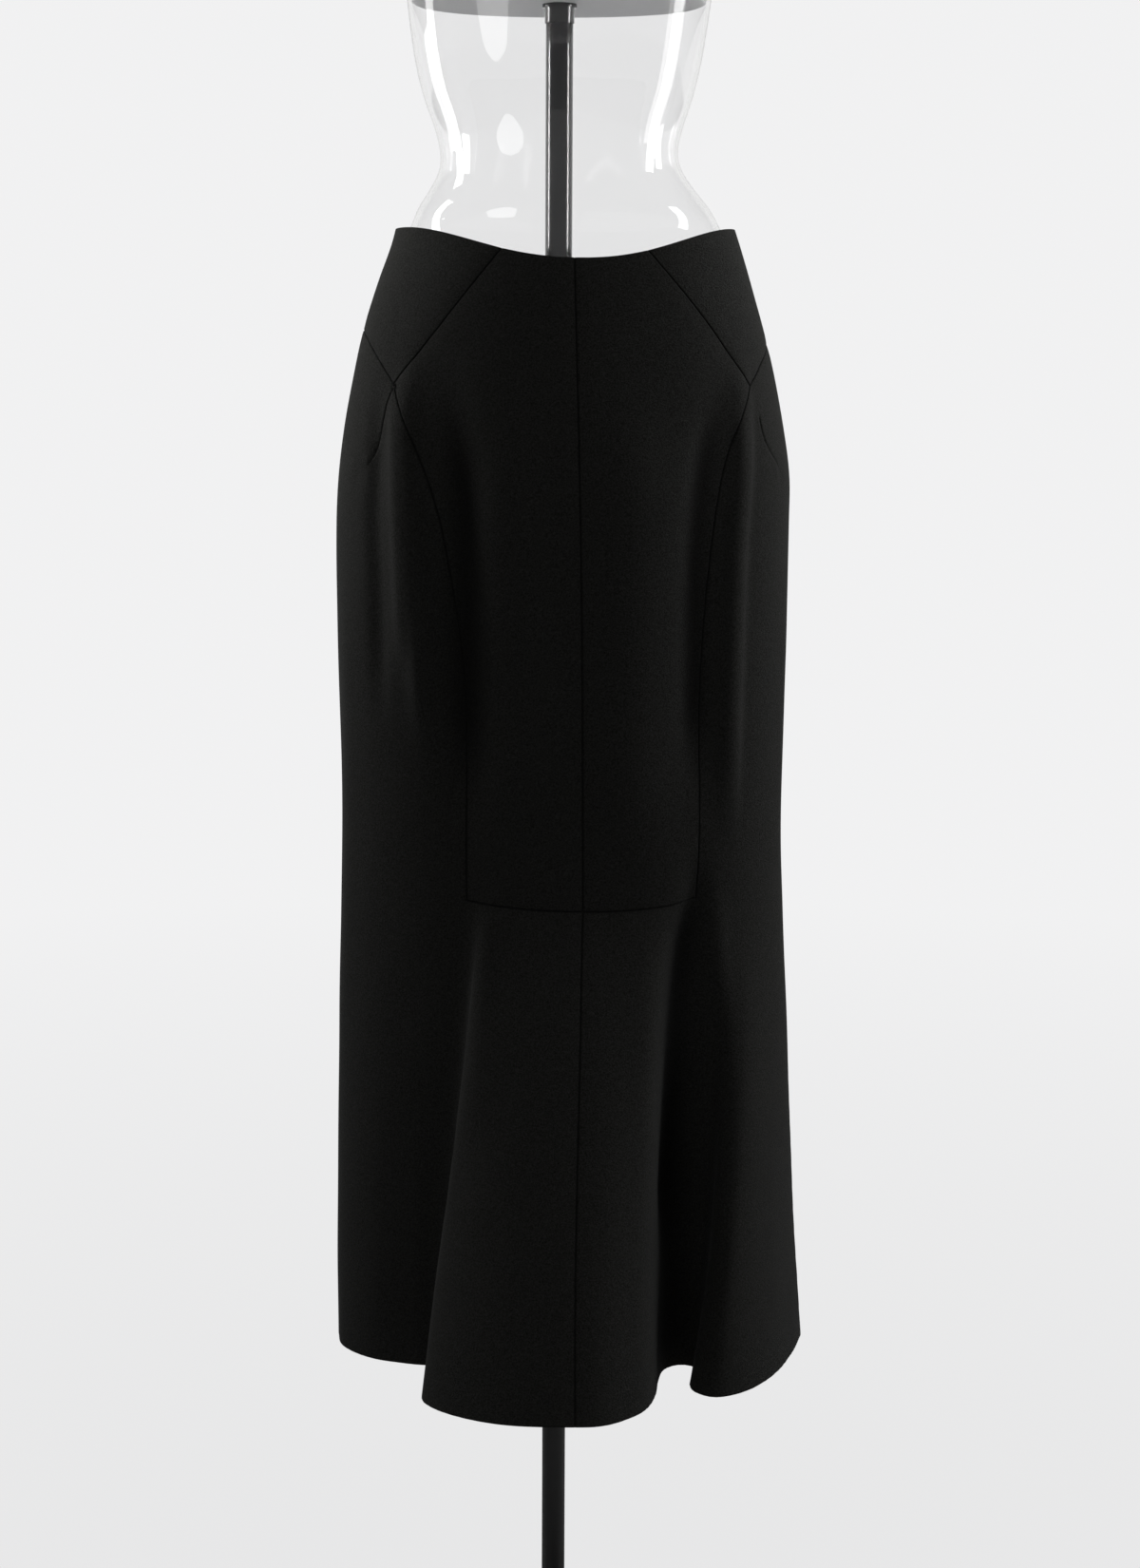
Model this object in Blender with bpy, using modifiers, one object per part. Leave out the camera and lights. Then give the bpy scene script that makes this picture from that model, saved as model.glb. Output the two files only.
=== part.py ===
"""A felted wool maxi skirt on a clear, limbless dress form that stands on a pole and a round base.

The skirt is a set of cloth walls cut the way its maker cuts them: two upper back panels, two hip yokes,
two side panels that run on into the flared lower back, and a front panel. All of them are lofted from one
surface, so that neighbours share their seams. Metres, +Z up. The back of the skirt faces -Y, the wearer's
right is +X, and the pole stands on the Z axis.
"""

import math
from collections import namedtuple

import bmesh
import bpy
from mathutils import Vector

# Driving sizes of the skirt.
HEM_HEIGHT = 0.300
WAIST_HEIGHT = 0.998
CLOTH = 0.0025
SEAM_GAP = 0.0003

# Level sections of the skirt without its flare. Heights are above the hem, the rest is from the pole.
Section = namedtuple("Section", "height left right back front squareness")
SECTIONS = (
    Section(0.000, 0.1977, 0.2262, 0.122, 0.138, 2.20),
    Section(0.090, 0.1980, 0.2196, 0.121, 0.132, 2.20),
    Section(0.180, 0.1974, 0.2148, 0.120, 0.127, 2.20),
    Section(0.300, 0.1952, 0.2090, 0.120, 0.121, 2.20),
    Section(0.400, 0.1937, 0.2037, 0.120, 0.117, 2.20),
    Section(0.490, 0.1925, 0.2008, 0.121, 0.114, 2.25),
    Section(0.660, 0.1947, 0.2034, 0.123, 0.110, 2.25),
    Section(0.745, 0.1951, 0.2047, 0.124, 0.107, 2.20),
    Section(0.785, 0.1932, 0.2045, 0.123, 0.105, 2.15),
    Section(0.826, 0.1880, 0.1990, 0.120, 0.102, 2.12),
    Section(0.867, 0.1802, 0.1911, 0.117, 0.099, 2.10),
    Section(0.909, 0.1709, 0.1806, 0.113, 0.095, 2.10),
    Section(0.950, 0.1582, 0.1686, 0.108, 0.090, 2.10),
    Section(0.982, 0.1465, 0.1585, 0.102, 0.084, 2.10),
    Section(1.000, 0.1415, 0.1525, 0.098, 0.080, 2.10),
)

# The flared hem from the left side round the back to the right side. Angles are about the pole at the
# knee, from centre back; each station runs down from there to its place in the hem. A high lag holds its
# sideways move back until near the hem.
Flare = namedtuple("Flare", "angle hem_x hem_back lag")
FLARES = (
    Flare(-90.0, -0.1977, 0.000, 1.0),
    Flare(-71.0, -0.1905, 0.037, 1.0),
    Flare(-52.0, -0.1630, 0.070, 1.0),
    Flare(-36.0, -0.1250, 0.0865, 1.0),
    Flare(-26.0, -0.1040, 0.092, 1.0),
    Flare(-20.5, -0.0945, 0.106, 1.0),
    Flare(-18.4, -0.0985, 0.135, 1.0),
    Flare(-16.5, -0.1125, 0.166, 1.0),
    Flare(-13.0, -0.1060, 0.193, 1.0),
    Flare(-8.5, -0.0780, 0.221, 1.0),
    Flare(-3.0, -0.0370, 0.240, 1.0),
    Flare(4.3, 0.0188, 0.244, 1.0),
    Flare(12.0, 0.0450, 0.239, 1.0),
    Flare(18.5, 0.0655, 0.221, 0.9),
    Flare(24.0, 0.0795, 0.196, 0.7),
    Flare(27.5, 0.0880, 0.163, 0.6),
    Flare(31.0, 0.0920, 0.128, 0.7),
    Flare(34.5, 0.0980, 0.098, 0.8),
    Flare(38.0, 0.1120, 0.084, 1.0),
    Flare(41.0, 0.1255, 0.091, 1.5),
    Flare(42.8, 0.1260, 0.112, 1.8),
    Flare(44.5, 0.1190, 0.136, 2.0),
    Flare(47.5, 0.1240, 0.157, 2.0),
    Flare(53.0, 0.1420, 0.168, 1.6),
    Flare(61.0, 0.1700, 0.149, 1.2),
    Flare(69.0, 0.1950, 0.108, 1.0),
    Flare(79.0, 0.2150, 0.050, 1.0),
    Flare(90.0, 0.2262, 0.000, 1.0),
)
FLARE_EASE = 1.05

# Seams of the back as drawn on the cloth: how far right of the pole they lie at each height.
Seam = namedtuple("Seam", "height x")
CENTRE_BACK = (Seam(0.40, 0.024), Seam(0.70, 0.021), Seam(1.00, 0.013))
PRINCESS_LEFT = (
    Seam(0.40, -0.076), Seam(0.60, -0.080), Seam(0.74, -0.099), Seam(0.80, -0.116), Seam(0.863, -0.140),
)
PRINCESS_RIGHT = (
    Seam(0.40, 0.124), Seam(0.60, 0.125), Seam(0.72, 0.132), Seam(0.80, 0.144), Seam(0.863, 0.165),
)
DIAGONAL_LEFT = (Seam(0.863, -0.140), Seam(0.92, -0.094), Seam(0.98, -0.045))
DIAGONAL_RIGHT = (Seam(0.863, 0.165), Seam(0.92, 0.124), Seam(0.98, 0.0725))
# The cloth sinks in along both princess seams, so that each side panel stands beside them as a ridge.
Trough = namedtuple("Trough", "height depth")
TROUGHS = (
    Trough(0.300, 0.0000), Trough(0.420, 0.0030), Trough(0.560, 0.0050), Trough(0.720, 0.0060),
    Trough(0.790, 0.0040), Trough(0.845, 0.0000), Trough(1.000, 0.0000),
)
TROUGH_WIDTH = 0.026
# The front is plain, with the same pieces mirrored: distance of its seams from centre front.
FRONT_SEAM = (
    Seam(0.00, 0.128), Seam(0.40, 0.100), Seam(0.60, 0.102), Seam(0.76, 0.120), Seam(0.863, 0.148),
)
FRONT_DIAGONAL = (Seam(0.863, 0.148), Seam(0.92, 0.104), Seam(0.98, 0.058))

# Heights above the hem: the seam across the back at its corners, and the lower tips of the hip yokes.
KNEE_CORNER = 0.4225
KNEE_SAG = 0.008
JUNCTION = 0.863
YOKE_RISE_LEFT = 0.047
YOKE_RISE_RIGHT = 0.037
BACK_DIP = 0.029
FRONT_DIP = 0.036
WAIST_DIP_POWER = 4.0
WAIST_TURN = 4.0

# The dress form: level sections above the skirt, heights above the floor.
FORM_WALL = 0.003
FormRow = namedtuple("FormRow", "height centre half back front squareness")
FORM_UPPER = (
    FormRow(1.315, 0.0045, 0.1270, 0.0860, 0.0740, 2.05),
    FormRow(1.331, 0.0030, 0.1155, 0.0800, 0.0700, 2.05),
    FormRow(1.347, 0.0015, 0.1060, 0.0760, 0.0675, 2.05),
    FormRow(1.362, 0.0000, 0.1034, 0.0745, 0.0670, 2.05),
    FormRow(1.380, -0.0005, 0.1068, 0.0750, 0.0690, 2.05),
    FormRow(1.412, -0.0010, 0.1174, 0.0790, 0.0760, 2.08),
    FormRow(1.444, -0.0010, 0.1246, 0.0840, 0.0850, 2.10),
    FormRow(1.492, -0.0005, 0.1315, 0.0900, 0.0990, 2.15),
    FormRow(1.545, 0.0000, 0.1390, 0.0950, 0.1100, 2.20),
    FormRow(1.600, 0.0000, 0.1490, 0.0960, 0.1010, 2.20),
    FormRow(1.650, 0.0000, 0.1570, 0.0920, 0.0830, 2.20),
    FormRow(1.685, 0.0000, 0.1520, 0.0830, 0.0690, 2.15),
    FormRow(1.710, 0.0000, 0.1250, 0.0710, 0.0590, 2.10),
    FormRow(1.730, 0.0000, 0.0860, 0.0600, 0.0530, 2.05),
    FormRow(1.748, 0.0000, 0.0600, 0.0530, 0.0500, 2.00),
    FormRow(1.775, 0.0000, 0.0515, 0.0500, 0.0490, 2.00),
    FormRow(1.800, 0.0000, 0.0500, 0.0490, 0.0490, 2.00),
)
# Inside the skirt the form follows the cloth: how far it stays inside the cloth's inner face.
FormFit = namedtuple("FormFit", "height clearance")
FORM_FIT = (
    FormFit(0.680, 0.0260),
    FormFit(0.720, 0.0170),
    FormFit(0.770, 0.0100),
    FormFit(0.820, 0.0055),
    FormFit(0.865, 0.0022),
    FormFit(0.905, 0.0011),
    FormFit(0.945, 0.0011),
    FormFit(0.970, 0.0035),
    FormFit(0.998, 0.0098),
)
FORM_ROWS = 26
FORM_COLUMNS = 18
# The crowned top of the neck: its loops shrink to these shares of the neck at these shares of the rise.
FORM_CROWN_RISE = 0.006
CrownLoop = namedtuple("CrownLoop", "size rise")
FORM_CROWN = (CrownLoop(0.93, 0.45), CrownLoop(0.60, 0.90))

# Stand.
UPPER_POLE_RADIUS = 0.01185
LOWER_POLE_RADIUS = 0.0105
POLE_JOIN = 0.860
FIT_GAP = 0.0003
PLATE_HEIGHT = 1.489
PLATE_THICKNESS = 0.005
PLATE_CLEARANCE = 0.0006
SOCKET_RADIUS = 0.021
SOCKET_FLANGE = 0.034
SOCKET_DEPTH = 0.030
SOCKET_FLOOR = 0.003
COLLAR_RADIUS = 0.0175
COLLAR_HALF = 0.026
BASE_RADIUS = 0.160
BASE_THICKNESS = 0.008
BASE_EDGE = 0.003
BASE_FOOT = 0.001
BOSS_RADIUS = 0.022
BOSS_HEIGHT = 0.046
BOSS_FLOOR = 0.004
ROUND_STEPS = 36

# How many cells each stretch of the cloth has.
LOWER_ROWS = 12
UPPER_ROWS = 11
YOKE_ROWS = 5
BACK_COLUMNS = 8
LEFT_COLUMNS = 22
RIGHT_COLUMNS = 29
FRONT_COLUMNS = 14
ARC_SAMPLES = 240


def clear_scene():
    """Remove the objects of the scene that the script opens in."""
    for obj in list(bpy.data.objects):
        bpy.data.objects.remove(obj, do_unlink=True)


def smooth(rows, at):
    """The rows' values at a key between them, on a smooth curve through the rows; the key is column one."""
    keys = [row[0] for row in rows]
    at = min(max(at, keys[0]), keys[-1])
    i = max(k for k in range(len(rows) - 1) if keys[k] <= at)
    step = keys[i + 1] - keys[i]
    t = (at - keys[i]) / step

    def slope(k, column):
        low, high = max(k - 1, 0), min(k + 1, len(rows) - 1)
        return (rows[high][column] - rows[low][column]) / (keys[high] - keys[low]) * step

    values = [at]
    for column in range(1, len(rows[0])):
        a, b = rows[i][column], rows[i + 1][column]
        values.append(
            a * (1 + 2 * t) * (1 - t) ** 2 + slope(i, column) * t * (1 - t) ** 2
            + b * t * t * (3 - 2 * t) - slope(i + 1, column) * t * t * (1 - t)
        )
    return type(rows[0])(*values)


def signed_power(value, power):
    return math.copysign(abs(value) ** power, value)


def ring(centre, half, back, front, squareness, angle):
    """A point of a level oval, by its angle in degrees from centre back towards +X."""
    turn = math.radians(angle)
    sine, cosine = math.sin(turn), math.cos(turn)
    depth = back if cosine > 0 else front
    return centre + half * signed_power(sine, 2 / squareness), -depth * signed_power(cosine, 2 / squareness)


def plain_section(angle, height):
    """A point of the skirt's tube without its flare, as x and y."""
    row = smooth(SECTIONS, height)
    centre, half = (row.right - row.left) / 2, (row.right + row.left) / 2
    x, y = ring(centre, half, row.back, row.front, row.squareness, angle)
    if abs(angle) < 90:
        depth = max(smooth(TROUGHS, height).depth, 0.0)
        for seam in (PRINCESS_LEFT, PRINCESS_RIGHT):
            y += depth * math.exp(-((x - smooth(seam, height).x) / TROUGH_WIDTH) ** 2)
    return x, y


def angle_at(x, height):
    """The angle from centre back at which the back of the plain tube passes x."""
    row = smooth(SECTIONS, height)
    centre, half = (row.right - row.left) / 2, (row.right + row.left) / 2
    return math.degrees(math.asin(signed_power((x - centre) / half, row.squareness / 2)))


def knee_height(angle):
    """Height of the seam across the back, which sags a little between its two corners."""
    left, right = angle_at(PRINCESS_LEFT[0].x, KNEE_CORNER), angle_at(PRINCESS_RIGHT[0].x, KNEE_CORNER)
    share = (angle - left) / (right - left)
    if not 0 < share < 1:
        return KNEE_CORNER
    return KNEE_CORNER - KNEE_SAG * 4 * share * (1 - share)


def skirt_point(angle, height):
    """The outer face of the cloth: the tube, and below the knee the flare that falls from it."""
    angle = (angle + 180) % 360 - 180
    x, y = plain_section(angle, height)
    knee = knee_height(angle)
    if height < knee and abs(angle) < 90:
        hem = smooth(FLARES, angle)
        plain_x, plain_y = plain_section(angle, 0.0)
        fall = 1 - height / knee
        x += fall ** hem.lag * (hem.hem_x - plain_x)
        y += fall ** FLARE_EASE * (-hem.hem_back - plain_y)
    return Vector((x, y, HEM_HEIGHT + height))


def skirt_normal(angle, height):
    """The direction out of the cloth."""
    turn, rise = 0.4, 0.003
    low, high = max(height - rise, 0.0), min(height + rise, SECTIONS[-1].height)
    along = skirt_point(angle + turn, height) - skirt_point(angle - turn, height)
    up = skirt_point(angle, high) - skirt_point(angle, low)
    return along.cross(up).normalized()


def waist_height(angle):
    """Height of the waist edge, highest at the sides and dipping at centre back and front."""
    cosine = math.cos(math.radians(angle - WAIST_TURN))
    dip = BACK_DIP if cosine > 0 else FRONT_DIP
    return WAIST_HEIGHT - dip * abs(cosine) ** WAIST_DIP_POWER


def back_seam(rows, height):
    return angle_at(smooth(rows, height).x, height)


def front_seam(rows, height, side):
    """The angle of a front seam, measured round from centre back by way of that side."""
    row = smooth(SECTIONS, height)
    half = (row.right + row.left) / 2
    share = min(smooth(rows, height).x / half, 1.0)
    return side * (180 - math.degrees(math.asin(share ** (row.squareness / 2))))


def even_shares(start, end, count):
    """Shares of the way from one angle to another that cut the hem into even lengths."""
    angles = [start + (end - start) * k / ARC_SAMPLES for k in range(ARC_SAMPLES + 1)]
    points = [skirt_point(angle, 0.0) for angle in angles]
    lengths = [0.0]
    for a, b in zip(points, points[1:]):
        lengths.append(lengths[-1] + (b - a).length)
    shares = []
    for step in range(count + 1):
        wanted = lengths[-1] * step / count
        k = max(i for i in range(ARC_SAMPLES) if lengths[i] <= wanted + 1e-9)
        part = (wanted - lengths[k]) / (lengths[k + 1] - lengths[k])
        shares.append((k + part) / ARC_SAMPLES)
    return shares


def blend(a, b, share):
    return a + (b - a) * share


def coons(lower, upper, start, end, shares, rows):
    """A patch between four edges, each a list of (angle, height), as rows of columns."""
    patch = []
    for j in range(rows + 1):
        v = j / rows
        line = []
        for i, w in enumerate(shares):
            point = []
            for axis in (0, 1):
                ruled = blend(start[j][axis], end[j][axis], w) + blend(lower[i][axis], upper[i][axis], v)
                corners = blend(
                    blend(lower[0][axis], lower[-1][axis], w), blend(upper[0][axis], upper[-1][axis], w), v
                )
                point.append(ruled - corners)
            line.append(tuple(point))
        patch.append(line)
    return patch


class Pattern:
    """The seams shared by the panels, each cut into the same points for both of its neighbours."""

    def __init__(self):
        self.knee_rows = [j / LOWER_ROWS for j in range(LOWER_ROWS + 1)]
        self.rise_rows = [j / UPPER_ROWS for j in range(UPPER_ROWS + 1)]
        self.yoke_rows = [j / YOKE_ROWS for j in range(YOKE_ROWS + 1)]
        self.corner = {
            -1: angle_at(PRINCESS_LEFT[0].x, KNEE_CORNER),
            1: angle_at(PRINCESS_RIGHT[0].x, KNEE_CORNER),
        }

    def centre_lower(self):
        angle = back_seam(CENTRE_BACK, KNEE_CORNER)
        return [(angle, knee_height(angle) * t) for t in self.knee_rows]

    def centre_upper(self):
        knee = self.centre_lower()[-1]
        top = waist_height(back_seam(CENTRE_BACK, WAIST_HEIGHT - BACK_DIP))
        middle = knee[1] + (top - knee[1]) * UPPER_ROWS / (UPPER_ROWS + YOKE_ROWS)
        heights = [blend(knee[1], middle, t) for t in self.rise_rows[1:]]
        heights += [blend(middle, top, t) for t in self.yoke_rows[1:]]
        return [knee] + [(back_seam(CENTRE_BACK, h), h) for h in heights]

    def back_edge(self, side):
        """The outer edge of an upper back panel: the princess seam, then the yoke's diagonal."""
        princess = PRINCESS_LEFT if side < 0 else PRINCESS_RIGHT
        diagonal = DIAGONAL_LEFT if side < 0 else DIAGONAL_RIGHT
        edge = []
        for t in self.rise_rows:
            height = blend(KNEE_CORNER, JUNCTION, t)
            edge.append((back_seam(princess, height), height))
        top = waist_height(back_seam(diagonal, diagonal[-1].height))
        for t in self.yoke_rows[1:]:
            height = blend(JUNCTION, top, t)
            edge.append((back_seam(diagonal, height), height))
        return edge

    def front_edge(self, side):
        """The front seam from the hem to the yoke, then the front diagonal, as angles past the side."""
        edge = [(front_seam(FRONT_SEAM, KNEE_CORNER * t, side), KNEE_CORNER * t) for t in self.knee_rows]
        for t in self.rise_rows[1:]:
            height = blend(KNEE_CORNER, JUNCTION, t)
            edge.append((front_seam(FRONT_SEAM, height, side), height))
        top = waist_height(front_seam(FRONT_DIAGONAL, FRONT_DIAGONAL[-1].height, side))
        for t in self.yoke_rows[1:]:
            height = blend(JUNCTION, top, t)
            edge.append((front_seam(FRONT_DIAGONAL, height, side), height))
        return edge

    def side_shares(self, side):
        count = LEFT_COLUMNS if side < 0 else RIGHT_COLUMNS
        return even_shares(self.corner[side], self.front_edge(side)[0][0], count)

    def back_shares(self, side):
        return even_shares(self.centre_lower()[0][0], self.corner[side], BACK_COLUMNS)

    def yoke_seam(self, side):
        """The lower edge of a hip yoke, which arches up over the side from back tip to front tip."""
        back, front = self.back_edge(side)[UPPER_ROWS], self.front_edge(side)[LOWER_ROWS + UPPER_ROWS]
        rise = YOKE_RISE_LEFT if side < 0 else YOKE_RISE_RIGHT
        half_span = (abs(front[0]) - abs(back[0])) / 2
        middle = (abs(front[0]) + abs(back[0])) / 2
        seam = []
        for w in self.side_shares(side):
            angle = blend(back[0], front[0], w)
            from_middle = (abs(angle) - middle) / half_span
            seam.append((angle, JUNCTION + rise * (1 - from_middle ** 2)))
        return seam


def knee_seam(pattern, side):
    centre, corner = pattern.centre_lower()[-1][0], pattern.corner[side]
    seam = []
    for w in pattern.back_shares(side):
        angle = blend(centre, corner, w)
        seam.append((angle, knee_height(angle)))
    return seam


def back_upper_grid(pattern, side):
    """Upper back panel, from the knee seam to the waist and from centre back to the princess seam."""
    shares = pattern.back_shares(side)
    start, end = pattern.centre_upper(), pattern.back_edge(side)
    upper = []
    for w in shares:
        angle = blend(start[-1][0], end[-1][0], w)
        upper.append((angle, waist_height(angle)))
    return coons(knee_seam(pattern, side), upper, start, end, shares, UPPER_ROWS + YOKE_ROWS)


def yoke_grid(pattern, side):
    """Hip yoke, from its back diagonal round the side to its front diagonal."""
    shares = pattern.side_shares(side)
    start = pattern.back_edge(side)[UPPER_ROWS:]
    end = pattern.front_edge(side)[LOWER_ROWS + UPPER_ROWS:]
    upper = []
    for w in shares:
        angle = blend(start[-1][0], end[-1][0], w)
        upper.append((angle, waist_height(angle)))
    return coons(pattern.yoke_seam(side), upper, start, end, shares, YOKE_ROWS)


def side_grids(pattern, side):
    """The side panel's two stretches below the knee, and the one above it."""
    corner = pattern.corner[side]
    back_shares, side_shares = pattern.back_shares(side), pattern.side_shares(side)
    front = pattern.front_edge(side)
    centre = pattern.centre_lower()
    fall = [(corner, KNEE_CORNER * t) for t in pattern.knee_rows]
    hem_back = [(blend(centre[0][0], corner, w), 0.0) for w in back_shares]
    hem_side = [(blend(corner, front[0][0], w), 0.0) for w in side_shares]
    knee_side = [(blend(corner, front[LOWER_ROWS][0], w), KNEE_CORNER) for w in side_shares]
    princess = pattern.back_edge(side)[:UPPER_ROWS + 1]
    front_rise = front[LOWER_ROWS:LOWER_ROWS + UPPER_ROWS + 1]
    lower_back = coons(hem_back, knee_seam(pattern, side), centre, fall, back_shares, LOWER_ROWS)
    lower_side = coons(hem_side, knee_side, fall, front[:LOWER_ROWS + 1], side_shares, LOWER_ROWS)
    upper_side = coons(knee_side, pattern.yoke_seam(side), princess, front_rise, side_shares, UPPER_ROWS)
    return lower_back, lower_side, upper_side


def front_grid(pattern):
    """The front panel, from the right front seam to the left one."""
    shares = [k / FRONT_COLUMNS for k in range(FRONT_COLUMNS + 1)]
    start = pattern.front_edge(1)
    end = [(angle + 360, height) for angle, height in pattern.front_edge(-1)]
    lower = [(blend(start[0][0], end[0][0], w), 0.0) for w in shares]
    upper = []
    for w in shares:
        angle = blend(start[-1][0], end[-1][0], w)
        upper.append((angle, waist_height(angle)))
    return coons(lower, upper, start, end, shares, len(start) - 1)


def cells_of(blocks):
    """Blocks of cloth placed on one lattice, as lattice points and the cells between them."""
    places, cells = {}, set()
    for first_column, first_row, patch in blocks:
        for j, line in enumerate(patch):
            for i, place in enumerate(line):
                places[(first_column + i, first_row + j)] = place
        for j in range(len(patch) - 1):
            for i in range(len(patch[0]) - 1):
                cells.add((first_column + i, first_row + j))
    return places, cells


def seam_shift(key, points, cells, free_rows):
    """How far a lattice point moves in from its seams, half the gap between two panels."""
    i, j = key
    away = [0, 0]
    for di in (0, -1):
        for dj in (0, -1):
            if (i + di, j + dj) not in cells:
                away[0] += -1 if di == 0 else 1
                away[1] += -1 if dj == 0 else 1
    signs = [(value > 0) - (value < 0) for value in away]
    if j in free_rows:
        signs[1] = 0
    directions = []
    for axis in (0, 1):
        if not signs[axis]:
            continue
        inward = [0, 0]
        inward[axis] = signs[axis]
        along = [0, 0]
        along[1 - axis] = 1
        step = points[(i + inward[0], j + inward[1])] - points[key]
        ends = [points.get((i + s * along[0], j + s * along[1]), points[key]) for s in (1, -1)]
        tangent = (ends[0] - ends[1]).normalized()
        directions.append((step - tangent * step.dot(tangent)).normalized())
    if not directions:
        return Vector((0, 0, 0))
    total = sum(directions, Vector((0, 0, 0)))
    if len(directions) == 2:
        total /= 1 + directions[0].dot(directions[1])
    return total * SEAM_GAP / 2


def cloth_wall(name, blocks, free_rows, material, collection):
    """One panel as a closed wall: its outer face, the same face moved in by the cloth, and its edges."""
    places, cells = cells_of(blocks)
    points = {key: skirt_point(*place) for key, place in places.items()}
    mesh = bmesh.new()
    outer, inner = {}, {}
    for key, place in places.items():
        point = points[key] + seam_shift(key, points, cells, free_rows)
        outer[key] = mesh.verts.new(point)
        inner[key] = mesh.verts.new(point - skirt_normal(*place) * CLOTH)
    edges = {}
    for i, j in sorted(cells):
        corners = [(i, j), (i + 1, j), (i + 1, j + 1), (i, j + 1)]
        mesh.faces.new([outer[key] for key in corners])
        mesh.faces.new([inner[key] for key in reversed(corners)])
        for a, b in zip(corners, corners[1:] + corners[:1]):
            if (b, a) in edges:
                del edges[(b, a)]
            else:
                edges[(a, b)] = True
    for a, b in edges:
        mesh.faces.new([outer[b], outer[a], inner[a], inner[b]])
    bmesh.ops.recalc_face_normals(mesh, faces=mesh.faces)
    return finish(name, mesh, material, collection)


def finish(name, mesh, material, collection):
    """Turn a bmesh into a named, smoothly shaded object of the collection."""
    data = bpy.data.meshes.new(name)
    mesh.to_mesh(data)
    mesh.free()
    data.shade_smooth()
    data.set_sharp_from_angle(angle=math.radians(40))
    data.materials.append(material)
    obj = bpy.data.objects.new(name, data)
    collection.objects.link(obj)
    return obj


def skirt(material, collection):
    """All the cloth, from the two halves' shared pattern."""
    pattern = Pattern()
    top = LOWER_ROWS + UPPER_ROWS + YOKE_ROWS
    for side, word in ((-1, "left"), (1, "right")):
        lower_back, lower_side, upper_side = side_grids(pattern, side)
        back = back_upper_grid(pattern, side)
        yoke = yoke_grid(pattern, side)
        cloth_wall(f"back_upper_{word}", [(0, 0, back)], {UPPER_ROWS + YOKE_ROWS}, material, collection)
        cloth_wall(f"hip_yoke_{word}", [(0, 0, yoke)], {YOKE_ROWS}, material, collection)
        side_blocks = [
            (0, 0, lower_back), (BACK_COLUMNS, 0, lower_side), (BACK_COLUMNS, LOWER_ROWS, upper_side),
        ]
        cloth_wall(f"side_panel_{word}", side_blocks, {0}, material, collection)
    cloth_wall("front_panel", [(0, 0, front_grid(pattern))], {0, top}, material, collection)


def form_rows():
    """The dress form's sections from its open bottom to its neck, as rows of one table."""
    rows = []
    for fit in FORM_FIT:
        section = smooth(SECTIONS, fit.height)
        inset = CLOTH + fit.clearance
        rows.append(FormRow(
            HEM_HEIGHT + fit.height,
            (section.right - section.left) / 2,
            (section.right + section.left) / 2 - inset,
            section.back - inset,
            section.front - inset,
            section.squareness,
        ))
    return tuple(rows) + FORM_UPPER


def form_point(rows, angle, height):
    """A point of the dress form's outer face."""
    row = smooth(rows, height)
    x, y = ring(row.centre, row.half, row.back, row.front, row.squareness, angle)
    return Vector((x, y, height))


def form_normal(rows, angle, height):
    """The direction out of the dress form."""
    turn, rise = 0.4, 0.002
    low, high = max(height - rise, rows[0].height), min(height + rise, rows[-1].height)
    along = form_point(rows, angle + turn, height) - form_point(rows, angle - turn, height)
    up = form_point(rows, angle, high) - form_point(rows, angle, low)
    return along.cross(up).normalized()


def form_half_points(rows, angles, depth):
    """One skin of half the form, as rows of points from its open bottom up to the crown of the neck."""
    low, high = rows[0].height, rows[-1].height
    lines = []
    for k in range(FORM_ROWS + 1):
        height = blend(low, high, k / FORM_ROWS)
        lines.append([form_point(rows, a, height) - form_normal(rows, a, height) * depth for a in angles])
    neck = rows[-1]
    for crown in FORM_CROWN:
        inset = depth + (neck.half - depth) * (1 - crown.size)
        height = high + FORM_CROWN_RISE * crown.rise - depth
        line = []
        for angle in angles:
            x, y = ring(neck.centre, neck.half - inset, neck.back - inset, neck.front - inset,
                        neck.squareness, angle)
            line.append(Vector((x, y, height)))
        lines.append(line)
    return lines


def form_half(name, first_angle, side, material, collection):
    """Half of the clear form, one moulded shell that meets the other half in a plane through the sides."""
    rows = form_rows()
    angles = [first_angle + 180 * k / FORM_COLUMNS for k in range(FORM_COLUMNS + 1)]
    mesh = bmesh.new()
    skins = []
    for depth in (0.0, FORM_WALL):
        lines = form_half_points(rows, angles, depth)
        crown = Vector((rows[-1].centre, 0.0, rows[-1].height + FORM_CROWN_RISE - depth))
        for line in lines:
            for point in (line[0], line[-1]):
                point.y = side * SEAM_GAP / 2
        crown.y = side * SEAM_GAP / 2
        grid = [[mesh.verts.new(point) for point in line] for line in lines]
        skins.append((grid, mesh.verts.new(crown)))
    for grid, crown in skins:
        for low, high in zip(grid, grid[1:]):
            for k in range(FORM_COLUMNS):
                mesh.faces.new([low[k], low[k + 1], high[k + 1], high[k]])
        for k in range(FORM_COLUMNS):
            mesh.faces.new([grid[-1][k], grid[-1][k + 1], crown])
    rims = []
    for grid, crown in skins:
        down, up = [line[0] for line in reversed(grid)], [line[-1] for line in grid[1:]]
        rims.append(down + grid[0][1:] + up + [crown])
    for k, outer in enumerate(rims[0]):
        after = (k + 1) % len(rims[0])
        mesh.faces.new([outer, rims[0][after], rims[1][after], rims[1][k]])
    bmesh.ops.recalc_face_normals(mesh, faces=mesh.faces)
    return finish(name, mesh, material, collection)


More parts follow.
